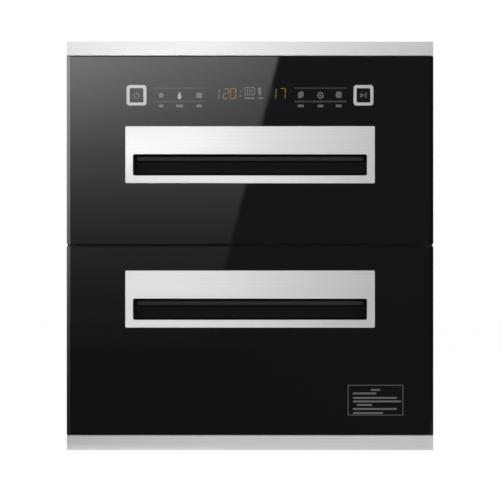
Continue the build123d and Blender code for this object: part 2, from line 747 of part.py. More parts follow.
# ---- drawer frame, tray and basket ----
def drawer_frame(drawer):
    """Two side plates with ledges and front tabs, joined by a bar at the back."""
    z0 = drawer.ledge_z
    z1 = z0 + DRAWER_PLATE_H
    t = DRAWER_PLATE_T
    side = block(X_DRAWER_IN, X_DRAWER, Y_DOOR_BACK, Y_BASKET_BACK, z0, z1)
    side += block(X_DRAWER_IN - DRAWER_LEDGE_W, X_DRAWER_IN, Y_DOOR_BACK, Y_BASKET_BACK, z0, z0 + t)
    side += block(X_DRAWER_IN - DRAWER_TAB_W, X_DRAWER_IN, Y_DOOR_BACK, Y_DOOR_BACK + t, z0, z1)
    bar = block(-X_DRAWER_IN, X_DRAWER_IN, Y_BASKET_BACK - t, Y_BASKET_BACK, z0, z0 + DRAWER_BACK_BAR_H)
    return side + other_side(side) + bar


def drip_tray(drawer):
    """Shallow pressed tray hanging by its rim on the ledges of the drawer frame."""
    rim_z = drawer.ledge_z + DRAWER_PLATE_T
    rim_half = X_DRAWER_IN - TRAY_RIM_GAP
    y0, y1 = Y_DOOR_BACK + BASKET_FRONT_GAP, Y_BASKET_BACK - 2 * TRAY_RIM_GAP
    half = X_DRAWER_IN - DRAWER_LEDGE_W - TRAY_WALL_GAP
    front, back = y0 + TRAY_RIM_GAP, y1 - TRAY_RIM_GAP
    pan_z = rim_z - TRAY_DEPTH
    t = TRAY_SHEET
    tray = block(-rim_half, rim_half, y0, y1, rim_z, rim_z + t)
    tray += block(-half, half, front, back, pan_z, rim_z)
    return tray - block(-half + t, half - t, front + t, back - t, pan_z + t, rim_z + t)


def dish_basket(drawer):
    """Wire basket of flat mats welded end to end: floor, four walls with belt and rim, and rack hoops."""
    floor = drawer.ledge_z + DRAWER_PLATE_T + TRAY_SHEET + WIRE_R
    lift = 2 * WIRE_R - WELD_BITE
    rim = floor + BASKET_H
    x1 = X_DRAWER_IN - BASKET_SIDE_GAP
    y0 = Y_DOOR_BACK + BASKET_FRONT_GAP + WIRE_R + lift
    y1 = Y_BASKET_BACK - DRAWER_PLATE_T - 2 * WIRE_R - lift
    wires = []
    cross = evenly(y0, y1, CROSS_WIRE_COUNT)
    for y in cross:
        wires.append(wire([(-x1, y, rim), (-x1, y, floor), (x1, y, floor), (x1, y, rim)], WIRE_R))
    for x in evenly(-x1, x1, LONG_WIRE_COUNT):
        run = floor + lift
        wires.append(wire([(x, y0, rim), (x, y0, run), (x, y1, run), (x, y1, rim)], WIRE_R))
    for grow, z, radius in ((lift, (floor + rim) / 2, WIRE_R), (0.0, rim, RIM_R)):
        x, front, back = x1 + grow, y0 - grow, y1 + grow
        loop = [(0.0, front), (x, front), (x, back), (-x, back), (-x, front), (0.0, front)]
        wires.append(wire([(*corner, z) for corner in loop], radius))
    back = cross[-DIVIDER_BACK_COUNT]
    front = cross[-DIVIDER_BACK_COUNT - DIVIDER_SPAN_COUNT]
    head = floor + DIVIDER_H
    for index in range(DIVIDER_COUNT):
        x = (index - (DIVIDER_COUNT - 1) / 2) * DIVIDER_PITCH
        hoop = [(x, front, floor), (x, front, head), (x, back, head), (x, back, floor)]
        wires.append(wire(hoop, WIRE_R))
    basket = wires[0].fuse(*wires[1:])
    seam_z = floor + lift + WIRE_R + MAT_SEAM
    y_front, y_back = y0 + RIM_R + MAT_SEAM, y1 - RIM_R - MAT_SEAM
    low, high = floor - BASKET_H, rim + BASKET_H
    rooms = (
        block(-X_WALL, X_WALL, Y_DOOR_BACK, Y_WALL, low, seam_z),
        block(-X_WALL, X_WALL, Y_DOOR_BACK, y_front, seam_z, high),
        block(-X_WALL, X_WALL, y_front, y_back, seam_z, high),
        block(-X_WALL, X_WALL, y_back, Y_WALL, seam_z, high),
    )
    return Compound(children=[mat for room in rooms for mat in (basket & room).solids()])


# ---- heater in the lower chamber ----
def heater_z():
    """Height of the heater's middle line."""
    return LOWER.mouth_bottom + HEATER_UP


def heater_reflector():
    """Bright trough against the back wall of the lower chamber."""
    t = LINER_T
    back, front = Y_WALL - t, Y_WALL - REFLECTOR_DEPTH
    flat, mouth = REFLECTOR_FLAT / 2, REFLECTOR_MOUTH / 2
    slope = (mouth - flat) / REFLECTOR_DEPTH
    inner_mouth = mouth - t * math.hypot(1, slope)
    inner_flat = flat - t * (math.hypot(1, slope) - slope)
    outer = [(Y_WALL, flat), (front, mouth), (front, -mouth), (Y_WALL, -flat)]
    inner = [(back, inner_flat), (front, inner_mouth), (front, -inner_mouth), (back, -inner_flat)]
    trough = along_x(outer, -HEATER_HALF_L, HEATER_HALF_L)
    trough -= along_x(inner, -HEATER_HALF_L, HEATER_HALF_L)
    return Pos(0, 0, heater_z()) * trough


def heater_heights():
    """Heights of the two quartz tubes."""
    return [heater_z() - TUBE_PITCH / 2, heater_z() + TUBE_PITCH / 2]


def heater_tubes():
    """Two quartz tubes that end in the ceramic caps."""
    half = HEATER_HALF_L + SHEET + CAP_BORE_DEPTH - CLEAR
    y = Y_WALL - TUBE_FROM_WALL
    return Compound(children=[rod_x(TUBE_R, -half, half, y, z) for z in heater_heights()])


def heater_caps():
    """Ceramic end caps, one at each end of each tube."""
    x0 = HEATER_HALF_L + SHEET
    y = Y_WALL - TUBE_FROM_WALL
    caps = []
    for z in heater_heights():
        cap = block(x0, x0 + CAP_L, y - CAP_FRONT, Y_WALL, z - CAP_H / 2, z + CAP_H / 2)
        cap -= rod_x(TUBE_R + BORE_CLEAR, x0, x0 + CAP_BORE_DEPTH, y, z)
        caps += [cap, other_side(cap)]
    return Compound(children=caps)


def heater_guard():
    """Wire guard in front of the tubes, its ends turned back to the wall."""
    x1 = HEATER_HALF_L + SHEET + CAP_L + 2 * WIRE_R
    y = Y_WALL - GUARD_REACH
    wires = []
    half = GUARD_WIRE_COUNT * GUARD_PITCH / 2
    for z in evenly(heater_z() - half, heater_z() + half, GUARD_WIRE_COUNT):
        wires.append(wire([(-x1, Y_WALL, z), (-x1, y, z), (x1, y, z), (x1, Y_WALL, z)], WIRE_R))
    for x in (-HEATER_HALF_L / 2, HEATER_HALF_L / 2):
        y_tie = y + 2 * WIRE_R - WELD_BITE
        wires.append(wire([(x, y_tie, heater_z() - half), (x, y_tie, heater_z() + half)], WIRE_R))
    return wires[0].fuse(*wires[1:])


# ---- lamp and fan in the upper chamber ----
def lamp_bar(radius, half):
    """Round bar on the lamp's axis, half on each side of its middle."""
    z = UPPER.mouth_top - LAMP_DROP
    return rod_x(radius, LAMP_X - half, LAMP_X + half, Y_WALL - LAMP_FROM_WALL, z)


def lamp_holders():
    """Sockets on the back wall that the lamp's ends sit in."""
    z = UPPER.mouth_top - LAMP_DROP
    y0 = Y_WALL - LAMP_FROM_WALL - LAMP_R - HOLDER_FRONT
    bore = lamp_bar(LAMP_R + BORE_CLEAR, LAMP_LENGTH / 2 + CLEAR)
    holders = []
    for side in (-1, 1):
        inner = LAMP_X + side * (LAMP_LENGTH / 2 - HOLDER_BITE)
        x = sorted((inner, inner + side * HOLDER_W))
        holders.append(block(*x, y0, Y_WALL, z - HOLDER_H / 2, z + HOLDER_H / 2) - bore)
    return Compound(children=holders)


def fan_z():
    """Height of the fan's axis."""
    return UPPER.mouth_middle + FAN_ABOVE_MIDDLE


def fan_housing():
    """Square housing on the back of the upper chamber, with struts to the motor seat."""
    y0, y1 = Y_LINER_BACK, Y_LINER_BACK + FAN_DEPTH
    z = fan_z()
    housing = slab(FAN_SIZE, FAN_SIZE, y0, y1, FAN_X, z, FAN_CORNER_R)
    housing -= rod_y(FAN_BORE_R, y0, y1, FAN_X, z)
    y_strut = y1 - FAN_STRUT_T
    seat = rod_y(FAN_MOTOR_R, y_strut, y1, FAN_X, z)
    reach = FAN_BORE_R + FAN_STRUT_BITE
    for index in range(FAN_STRUT_COUNT):
        arm = block(0, reach, y_strut, y1, -FAN_STRUT_W / 2, FAN_STRUT_W / 2)
        turn = 360 * index / FAN_STRUT_COUNT + FAN_STRUT_ANGLE
        seat += Pos(FAN_X, 0, z) * Rot(0, turn, 0) * arm
    return housing + seat - rod_y(2 * FAN_SHAFT_R, y_strut, y1, FAN_X, z)


def fan_motor():
    """Motor on the struts, its shaft through them into the impeller."""
    y1 = Y_LINER_BACK + FAN_DEPTH
    motor = rod_y(FAN_MOTOR_R, y1, y1 + FAN_MOTOR_L, FAN_X, fan_z())
    return motor + rod_y(FAN_SHAFT_R, Y_LINER_BACK + 2 * FAN_HUB_FRONT, y1, FAN_X, fan_z())


def fan_blade():
    """One blade, twisted from hub to tip, on the X axis with the fan axis along Y."""
    sections = []
    for radius, angle in ((FAN_HUB_R - FAN_BLADE_BITE, FAN_ROOT_ANGLE), (FAN_TIP_R, FAN_TIP_ANGLE)):
        plane = Plane(origin=(radius, 0, 0), x_dir=(0, 1, 0), z_dir=(1, 0, 0))
        plane = plane.rotated((0, 0, 90 - angle))
        sections.append(plane * Rectangle(FAN_BLADE_CHORD, FAN_BLADE_T))
    return loft(sections, ruled=True)


def fan_impeller():
    """Axial impeller with its hub bored for the motor shaft."""
    y0 = Y_LINER_BACK + FAN_HUB_FRONT
    y1 = y0 + FAN_HUB_L
    z = fan_z()
    wheel = rod_y(FAN_HUB_R, y0, y1, FAN_X, z)
    middle = Pos(FAN_X, (y0 + y1) / 2, z)
    for index in range(FAN_BLADE_COUNT):
        wheel += middle * Rot(0, 360 * index / FAN_BLADE_COUNT, 0) * fan_blade()
    wheel &= rod_y(FAN_TIP_R, y0, y1, FAN_X, z)
    bore_end = Y_LINER_BACK + 2 * FAN_HUB_FRONT - CLEAR
    return wheel - rod_y(FAN_SHAFT_R + FAN_SHAFT_CLEAR, bore_end, y1, FAN_X, z)


def fan_grille():
    """Round grille of rings and spokes on the back wall of the upper chamber."""
    y0, z = Y_WALL - GRILLE_T, fan_z()
    grille = rod_y(GRILLE_BAR, y0, Y_WALL, FAN_X, z)
    widest = GRILLE_RING_RADII[0]
    for index in range(GRILLE_SPOKE_COUNT):
        spoke = block(0, widest, y0, Y_WALL, -GRILLE_BAR / 2, GRILLE_BAR / 2)
        grille += Pos(FAN_X, 0, z) * Rot(0, 360 * index / GRILLE_SPOKE_COUNT, 0) * spoke
    for radius in GRILLE_RING_RADII:
        outer = GRILLE_R if radius == widest else radius + GRILLE_BAR
        grille += rod_y(outer, y0, Y_WALL, FAN_X, z) - rod_y(radius, y0, Y_WALL, FAN_X, z)
    return grille


# ---- electrics ----
def power_board():
    """Board on standoffs behind the upper chamber, with transformer, relays and a capacitor."""
    x, z = POWER_BOARD_X, UPPER.mouth_bottom + POWER_BOARD_UP
    y0 = Y_LINER_BACK + STANDOFF_L
    y1 = y0 + BOARD_T
    board = slab(POWER_BOARD_W, POWER_BOARD_H, y0, y1, x, z)
    for side_x in (-1, 1):
        for side_z in (-1, 1):
            standoff_x = x + side_x * (POWER_BOARD_W / 2 - 2 * STANDOFF_R)
            standoff_z = z + side_z * (POWER_BOARD_H / 2 - 2 * STANDOFF_R)
            board += rod_y(STANDOFF_R, Y_LINER_BACK, y0, standoff_x, standoff_z)
    for part_x, part_z, width, height, reach in BOARD_PARTS:
        board += slab(width, height, y1, y1 + reach, x + part_x, z + part_z)
    return board + rod_y(CAPACITOR_R, y1, y1 + CAPACITOR_L, x + CAPACITOR_X, z + CAPACITOR_Z)


def cable_gland():
    """Bush for the mains lead in the back panel, with a collar outside and a latch inside."""
    y0, y1 = Y_BACK_IN - GLAND_TAIL, Y_BACK + SCREW_HEAD_T
    gland = rod_y(GLAND_R, y0, Y_BACK, X_GLAND, GLAND_Z)
    gland += rod_y(GLAND_R + GLAND_COLLAR, Y_BACK, y1, X_GLAND, GLAND_Z)
    gland += rod_y(GLAND_R + GLAND_LATCH, y0, Y_BACK_IN, X_GLAND, GLAND_Z)
    return gland - rod_y(GLAND_BORE_R, y0, y1, X_GLAND, GLAND_Z)


def door_switches():
    """A switch behind the frame for each drawer, its plunger 0.3 mm off the closed front."""
    y0 = Y_FRAME_BACK + SHEET
    tip = Y_DOOR_BACK + CLEAR
    x0, x1 = X_WALL + SWITCH_WALL_GAP, X_BODY_IN - SHEET
    switches = []
    for drawer in (UPPER, LOWER):
        z = drawer.switch_z
        case = block(x0, x1, y0, y0 + SWITCH_DEPTH, z - SWITCH_H / 2, z + SWITCH_H / 2)
        switches.append(case + rod_y(PLUNGER_R, tip, y0, X_SWITCH, z))
    return Compound(children=switches)


# ---- all pieces by name ----
def drawer_pieces(drawer):
    """The pieces that both drawers and their chambers have."""
    outer, middle, inner = outer_rail(drawer), middle_rail(drawer), inner_rail(drawer)
    named = {
        "glass_front": glass_front(drawer),
        "door_frame": door_frame(drawer),
        "inner_panel": inner_panel(drawer),
        "door_gasket": gasket(drawer),
        "handle_plate": handle_plate(drawer),
        "handle_pocket": handle_pocket(drawer),
        "drawer_frame": drawer_frame(drawer),
        "drip_tray": drip_tray(drawer),
        "dish_basket": dish_basket(drawer),
        "chamber_liner": liner(drawer),
        "outer_rail_right": outer,
        "outer_rail_left": other_side(outer),
        "middle_rail_right": middle,
        "middle_rail_left": other_side(middle),
        "inner_rail_right": inner,
        "inner_rail_left": other_side(inner),
    }
    return {f"{drawer.name}_{name}": shape for name, shape in named.items()}


def cabinet_pieces():
    """The pieces that belong to the cabinet as a whole."""
    right = side_panel()
    left = other_side(right)
    return {
        "top_trim_strip": trim_strip(FRONT_H - TOP_STRIP_H, FRONT_H),
        "bottom_trim_strip": trim_strip(0.0, BOTTOM_STRIP_H),
        "front_frame": front_frame(),
        "right_side_panel": right,
        "left_side_panel": left,
        "top_panel": top_panel(),
        "bottom_panel": bottom_panel(),
        "back_panel": back_panel(),
        "casing_screws": casing_screws(),
        "feet": feet(),
        "heater_reflector": heater_reflector(),
        "heater_tubes": heater_tubes(),
        "heater_end_caps": heater_caps(),
        "heater_guard": heater_guard(),
        "ozone_lamp": lamp_bar(LAMP_R, LAMP_LENGTH / 2),
        "lamp_holders": lamp_holders(),
        "fan_housing": fan_housing(),
        "fan_motor": fan_motor(),
        "fan_impeller": fan_impeller(),
        "fan_grille": fan_grille(),
        "power_board": power_board(),
        "cable_gland": cable_gland(),
        "door_switches": door_switches(),
        "control_board": control_board(),
        "display_module": display_module(),
        "key_bezels": Compound(children=[key_bezel(-KEY_X), key_bezel(KEY_X)]),
        "power_key": key_cap(-KEY_X),
        "start_key": key_cap(KEY_X),
    }


def all_pieces():
    """Every piece of the cabinet, with what the pieces cut in one another."""
    pieces = drawer_pieces(LOWER)
    pieces.update(drawer_pieces(UPPER))
    pieces.update(cabinet_pieces())
    for x in (-KEY_X, KEY_X):
        pieces["upper_glass_front"] -= key_seat_hole(x)
    for boss in board_bosses():
        pieces["upper_inner_panel"] += boss
    bore = rod_y(FAN_TIP_R, Y_WALL, Y_LINER_BACK, FAN_X, fan_z())
    pieces["upper_chamber_liner"] -= bore
    return pieces


for piece_name, piece in all_pieces().items():
    export_step(piece, f"parts/{piece_name}.step")
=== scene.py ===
"""Looks of the dish sterilizer cabinet: finishes, printed marks, display, grip lips, light, camera.

Places and sizes are in metres, in the CAD's frame. The front of the cabinet looks towards -Y.
"""

import bmesh
import bpy
import json
import math
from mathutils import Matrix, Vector


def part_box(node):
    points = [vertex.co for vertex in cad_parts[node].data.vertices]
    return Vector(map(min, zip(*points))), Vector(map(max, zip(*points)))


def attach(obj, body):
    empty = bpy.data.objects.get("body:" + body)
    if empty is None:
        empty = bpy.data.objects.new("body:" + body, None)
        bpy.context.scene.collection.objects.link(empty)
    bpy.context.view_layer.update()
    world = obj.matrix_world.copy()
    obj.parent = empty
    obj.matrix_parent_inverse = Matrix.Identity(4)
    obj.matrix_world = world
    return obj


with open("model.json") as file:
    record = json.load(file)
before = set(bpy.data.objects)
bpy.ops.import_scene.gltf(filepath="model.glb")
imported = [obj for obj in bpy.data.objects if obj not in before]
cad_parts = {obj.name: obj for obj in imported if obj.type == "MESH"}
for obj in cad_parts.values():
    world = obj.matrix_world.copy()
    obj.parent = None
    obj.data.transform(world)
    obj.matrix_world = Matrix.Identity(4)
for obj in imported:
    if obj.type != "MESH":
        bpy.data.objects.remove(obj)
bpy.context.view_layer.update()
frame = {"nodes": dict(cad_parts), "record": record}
scene = bpy.context.scene

# ---- camera: the photo's view, straight from the front ----
IMAGE_SPAN = 0.81265                            # across the picture, at the glass
CAMERA_DISTANCE = 6.0                           # from the glass
CAMERA_Z = 0.3252
SENSOR = 36.0                                   # millimetres

# ---- places read from the frame ----
GLASS_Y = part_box("upper_glass_front")[0].y
CAP_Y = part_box("power_key")[0].y
KEY_CENTRE = (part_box("power_key")[0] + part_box("power_key")[1]) / 2
CONTROL_Z = KEY_CENTRE.z
KEY_X = abs(KEY_CENTRE.x)
BOARD_HALF = 0.00085                            # just over half the thickness of a circuit board
POWER_BOARD_Y = 0.1708                          # middle of the board's thickness
CONTROL_BOARD_Y = -0.2056

# ---- printed marks: x from the middle of the front, heights from the line of the keys ----
INK_T = 0.00012
INK_GAP = 0.00002
SYMBOL_X = (0.0825, 0.1145, 0.1443)             # near, middle and far, on both sides
SYMBOL_UP = 0.001                               # of the leaf and the tile
DOT_R = 0.0041
FLAME = (0.0082, 0.0128)                        # width, height
FLAME_PINCH = 1.4
BOWL = (0.0098, 0.0085, 0.0022)                 # width, height, corner radius
LEAF = (0.0140, 0.0095, math.radians(62))       # length, width, turn
DIAL_OUTSIDE = (0.0052, 0.0058)                 # half width, half height
DIAL_INSIDE = (0.0030, 0.0034)
DIAL_HUB = (0.0016, 0.0018)
TILE = (0.0100, 0.0105, 0.0034)
CAPTION_DROP = 0.0172
CAPTION_H = 0.0044
LEFT_CAPTIONS = (0.0070, 0.0115, 0.0090)        # widths, from the far one to the near one
RIGHT_CAPTION = 0.0095
RULE_X = (0.072, 0.157)
RULES = (                                       # side, height, thickness
    (-1, 0.0117, 0.0020),
    (1, 0.0117, 0.0020),
    (-1, -0.0100, 0.0020),
    (1, -0.0100, 0.0030),
)

# ---- display ----
SEGMENTS = {"0": "abcdef", "1": "bc", "2": "abged", "7": "abc"}     # of the digits in use
DIGIT_H = 0.0180
DIGIT_W = 0.0098
DIGIT_STROKE = 0.0016
DIGIT_SLANT = 0.06                              # to the right for each unit up
DIGIT_UP = 0.0028
DIGITS = (("1", -0.0545), ("2", -0.0390), ("0", -0.0275), ("1", 0.0380), ("7", 0.0532))
SEGMENT_GAP = 0.35                              # share of half a stroke
COLON_X = -0.0154
COLON_SPREAD = 0.0036
COLON_R = 0.0013
RACK_ICON = (-0.0003, 0.0069, 0.0175, 0.0135)   # x, height over the keys' line, width, height
RACK_CORNERS = (0.0024, 0.0012)                 # outside, inside
RACK_BARS = 3
TUBE_ICON = (0.0158, 0.0065, 0.0048, 0.0125)
TUBE_CORNER = 0.0020
ICON_LINE = 0.0014
UNDERLINES = ((-0.0003, 0.0165), (0.0168, 0.0085))                  # x, width
UNDERLINE_DROP = 0.0047
UNDERLINE_H = 0.0026

# ---- marks on the keys, from the middle of the key ----
POWER_RING = (0.0052, 0.0038)                   # outside and inside radius
POWER_RING_DROP = 0.0004
POWER_RING_OPEN = math.radians(35)              # half of the opening at the top
POWER_RING_STEPS = 24
POWER_BAR = (0.0034, 0.0014, 0.0052)            # height of its middle, width, height
START_ARROW = (-0.0052, 0.0012, 0.0042)         # x of its back, x of its tip, half height
START_BARS = (0.0026, 0.0048)                   # x
START_BAR = (0.0013, 0.0084)                    # width, height

# ---- printed panel on the lower glass ----
PANEL_BOX = (0.1588, 0.2493, 0.0562, 0.1062)    # x from and to, z from and to
PANEL_LINE_T = 0.0016
PANEL_ROW_H = 0.0029
PANEL_ROWS = (                                  # z, start from the panel's left side, length
    (0.0978, 0.0376, 0.0150),
    (0.0921, 0.0085, 0.0375),
    (0.0848, 0.0085, 0.0715),
    (0.0791, 0.0085, 0.0780),
    (0.0734, 0.0150, 0.0245),
    (0.0669, 0.0085, 0.0715),
    (0.0602, 0.0085, 0.0488),
)

# ---- inks: colour, glow ----
INKS = {
    "ink_bright": ((0.36, 0.36, 0.37), 0.10),
    # The left and right symbols share one print: the left copy is painted lighter and the right copy
    # darker, in colour and glow, as painted light and shade.
    "ink_left_painted_light": ((0.145, 0.145, 0.155), 0.05),
    "ink_right_painted_shade": ((0.126, 0.126, 0.131), 0.03),
    "ink_rule": ((0.048, 0.048, 0.051), 0.0),
    "amber": ((0.178, 0.098, 0.022), 0.30),
    "cool_white": ((0.10, 0.112, 0.125), 0.20),
    # The two key marks share one print: the left key's copy is painted lighter and the right key's
    # copy darker, as painted light and shade.
    "ink_power_painted_light": ((0.15, 0.15, 0.155), 0.04),
    "ink_start_painted_shade": ((0.11, 0.11, 0.115), 0.03),
    "ink_border": ((0.095, 0.095, 0.098), 0.0),
    "ink_rows": ((0.155, 0.155, 0.160), 0.0),
}

# ---- grip ledge in each handle slot, as in the CAD ----
POCKET_WALL = 0.0012
SLOT_TOP_UP = 0.0470
GRIP_H = 0.0065
GRIP_DROP = 0.0016
GRIP_REACH = 0.0070
GRIP_R = 0.0020
GRIP_STEPS = 6

# ---- soft lip on that ledge, paler than the pocket as a painted highlight ----
LIP_W = 0.367
LIP_H = 0.0062
LIP_DROP = 0.0042
LIP_PROUD = 0.0005
LIP_DEPTH = 0.0042
LIP_R = 0.0010
LIP_GAP = 0.00005

# ---- floor: mostly white to look at, and partly matt so that it keeps the shadow ----
FLOOR_HALF = 14.0
FLOOR_DROP = 0.0003
FLOOR_GREY = 0.86
FLOOR_GLOW = 1.15
FLOOR_GLOW_SHARE = 0.75

# ---- lamps: name, place, what they look at, side, watts ----
WORLD_LIGHT = 0.62
LAMPS = (
    ("key", (-0.85, -1.10, 0.95), (-0.2, -0.2, 0.45), 0.5, 6),
    ("fill", (1.9, -2.2, 1.3), (0, 0, 0.3), 1.6, 10),
    ("top", (0.3, 0.9, 2.3), (0, 0, 0.3), 1.8, 16),
)

# ---- reflections: cards that only glossy rays meet ----
# A list of levels gives places and radiances, and its top is the radiance that the ramp holds as 1.
# Places on the wall are heights over the camera. On the runner they go from its middle towards
# the cabinet.
WALL_HALF = 5.0
WALL_BEHIND = 0.05                              # behind the camera
WALL_LEVELS = (
    (-0.80, 0.05), (-0.30, 0.078), (0.0, 0.098), (0.72, 0.10), (1.3, 0.68), (4.5, 0.72),
)
WALL_TOP = 1.0
WALL_RIGHT = (1.8, 2.4, 1.0, 0.45)              # x from and to, share there: for the right bevel
WINDOW_EDGE = (-0.0696, 0.2575)                 # edge x = first + second * height
WINDOW_SOFT = 0.014
WINDOW_LEFT = (-1.12, -0.92)                    # soft left side, which leans as the edge does
WINDOW_LEVELS = (
    (-0.80, 0.0), (-0.31, 0.0), (-0.13, 0.10), (-0.026, 0.21), (0.049, 0.26), (0.162, 0.55),
    (0.325, 1.26), (0.445, 2.25), (0.611, 3.86), (0.75, 5.00), (2.40, 6.00), (3.20, 0.05),
)
WINDOW_TOP = 6.0
WINDOW_FADE_UP = (0.05, 0.45)                   # heights where the fade starts and is full
WINDOW_FADE_LEFT = 0.57                         # how far left of the middle nothing is lost
WINDOW_FADE = 0.75                              # share lost per metre to the right, high up
SIDE_WINDOW = (-4.4, -4.0, -2.3, -1.9)          # x of its soft sides: for the left bevel
SIDE_LEVELS = (
    (-0.62, 0.17), (-0.50, 0.20), (-0.28, 0.46), (-0.168, 0.72), (-0.01, 1.10), (0.04, 3.60),
    (0.167, 4.05), (0.335, 5.85), (0.503, 7.40), (0.664, 9.70), (0.90, 9.70), (1.30, 0.0),
)
SIDE_TOP = 10.0
RUNNER = (-3.4, 3.4, 0.02, 6.10)                # x from and to, nearest and farthest from the glass
RUNNER_LIFT = 0.0004
RUNNER_LEVELS = ((-3.04, 0.04), (2.62, 0.04), (2.70, 1.0), (3.04, 1.0))
RUNNER_TOP = 1.0
RUNNER_SLOPE = (1.3, 0.6)                       # share = first * x + second, from 0 to 1
RUNNER_BASE = 0.035


# ---- mesh helpers ----
def new_object(name, bm):
    """Object made from a finished bmesh."""
    mesh = bpy.data.meshes.new(name)
    bm.normal_update()
    bm.to_mesh(mesh)
    bm.free()
    obj = bpy.data.objects.new(name, mesh)
    scene.collection.objects.link(obj)
    return obj


def add_prism(bm, outline, y):
    """Closed plate with an (x, z) outline, its back at y and its face an ink's thickness in front."""
    back = [bm.verts.new((x, y, z)) for x, z in outline]
    face = [bm.verts.new((x, y - INK_T, z)) for x, z in outline]
    count = len(outline)
    made = [bm.faces.new(face), bm.faces.new(list(reversed(back)))]
    for i in range(count):
        j = (i + 1) % count
        made.append(bm.faces.new((back[i], back[j], face[j], face[i])))
    bmesh.ops.recalc_face_normals(bm, faces=made)


def add_ring(bm, outer, inner, y):
    """Closed flat ring between two outlines with the same number of points."""
    loops = []
    for outline in (outer, inner):
        for depth in (0.0, INK_T):
            loops.append([bm.verts.new((x, y - depth, z)) for x, z in outline])
    outer_back, outer_face, inner_back, inner_face = loops
    made = []
    count = len(outer)
    for i in range(count):
        j = (i + 1) % count
        for a, b in (
            (outer_face, inner_face),
            (inner_back, outer_back),
            (outer_back, outer_face),
            (inner_face, inner_back),
        ):
            made.append(bm.faces.new((a[i], a[j], b[j], b[i])))
    bmesh.ops.recalc_face_normals(bm, faces=made)


def rectangle(x, z, width, height):
    """Outline of a rectangle round its centre."""
    w, h = width / 2, height / 2
    return [(x - w, z - h), (x + w, z - h), (x + w, z + h), (x - w, z + h)]


def ellipse(x, z, a, b, count=32):
    """Outline of an ellipse with half width a and half height b."""
    turns = [2 * math.pi * i / count for i in range(count)]
    return [(x + a * math.cos(t), z + b * math.sin(t)) for t in turns]


def rounded(x, z, width, height, radius, steps=6):
    """Outline of a rectangle with round corners."""
    points = []
    w, h = width / 2 - radius, height / 2 - radius
    for corner, (sx, sz) in enumerate(((1, 1), (-1, 1), (-1, -1), (1, -1))):
        for i in range(steps + 1):
            t = math.pi / 2 * (corner + i / steps)
            points.append((x + sx * w + radius * math.cos(t), z + sz * h + radius * math.sin(t)))
    return points


def drop(x, z, width, height, count=32):
    """Outline of a drop with its tip up."""
    points = []
    for i in range(count):
        t = 2 * math.pi * i / count
        pinch = math.sin(t / 2) ** FLAME_PINCH
        points.append((x + width / 2 * math.sin(t) * pinch, z + height / 2 * math.cos(t)))
    return points


def leaf(x, z, length, width, turn, count=16):
    """Outline of a leaf with two pointed ends."""
    points = []
    cos, sin = math.cos(turn), math.sin(turn)
    for side in (1, -1):
        for i in range(count):
            t = i / count
            u = side * length * (0.5 - t)
            v = side * width / 2 * math.sin(math.pi * t)
            points.append((x + u * cos - v * sin, z + u * sin + v * cos))
    return points


def add_digit(bm, char, x, z, y):
    """Seven-segment digit as separate slanted bars."""
    w, h, s = DIGIT_W / 2, DIGIT_H / 2, DIGIT_STROKE / 2
    gap = s * SEGMENT_GAP
    across = {"a": h - s, "g": 0.0, "d": -h + s}
    upright = {"f": (-1, 1), "b": (1, 1), "e": (-1, -1), "c": (1, -1)}
    for name in SEGMENTS[char]:
        if name in across:
            v, u0, u1 = across[name], -w + s + gap, w - s - gap
            lower = [(u0, v), (u0 + s, v - s), (u1 - s, v - s)]
            points = lower + [(u1, v), (u1 - s, v + s), (u0 + s, v + s)]
        else:
            side, up = upright[name]
            u = side * (w - s)
            v0, v1 = sorted((up * gap, up * (h - s - gap)))
            right = [(u, v0), (u + s, v0 + s), (u + s, v1 - s)]
            points = right + [(u, v1), (u - s, v1 - s), (u - s, v0 + s)]
        add_prism(bm, [(x + a + b * DIGIT_SLANT, z + b) for a, b in points], y)


# ---- material helpers ----
def new_material(name, **values):
    """Material with a Principled shader whose sockets take the given constants."""
    material = bpy.data.materials.new(name)
    material.use_nodes = True
    shader = material.node_tree.nodes["Principled BSDF"]
    for key, value in values.items():
        shader.inputs[key.replace("_", " ")].default_value = value
    return material


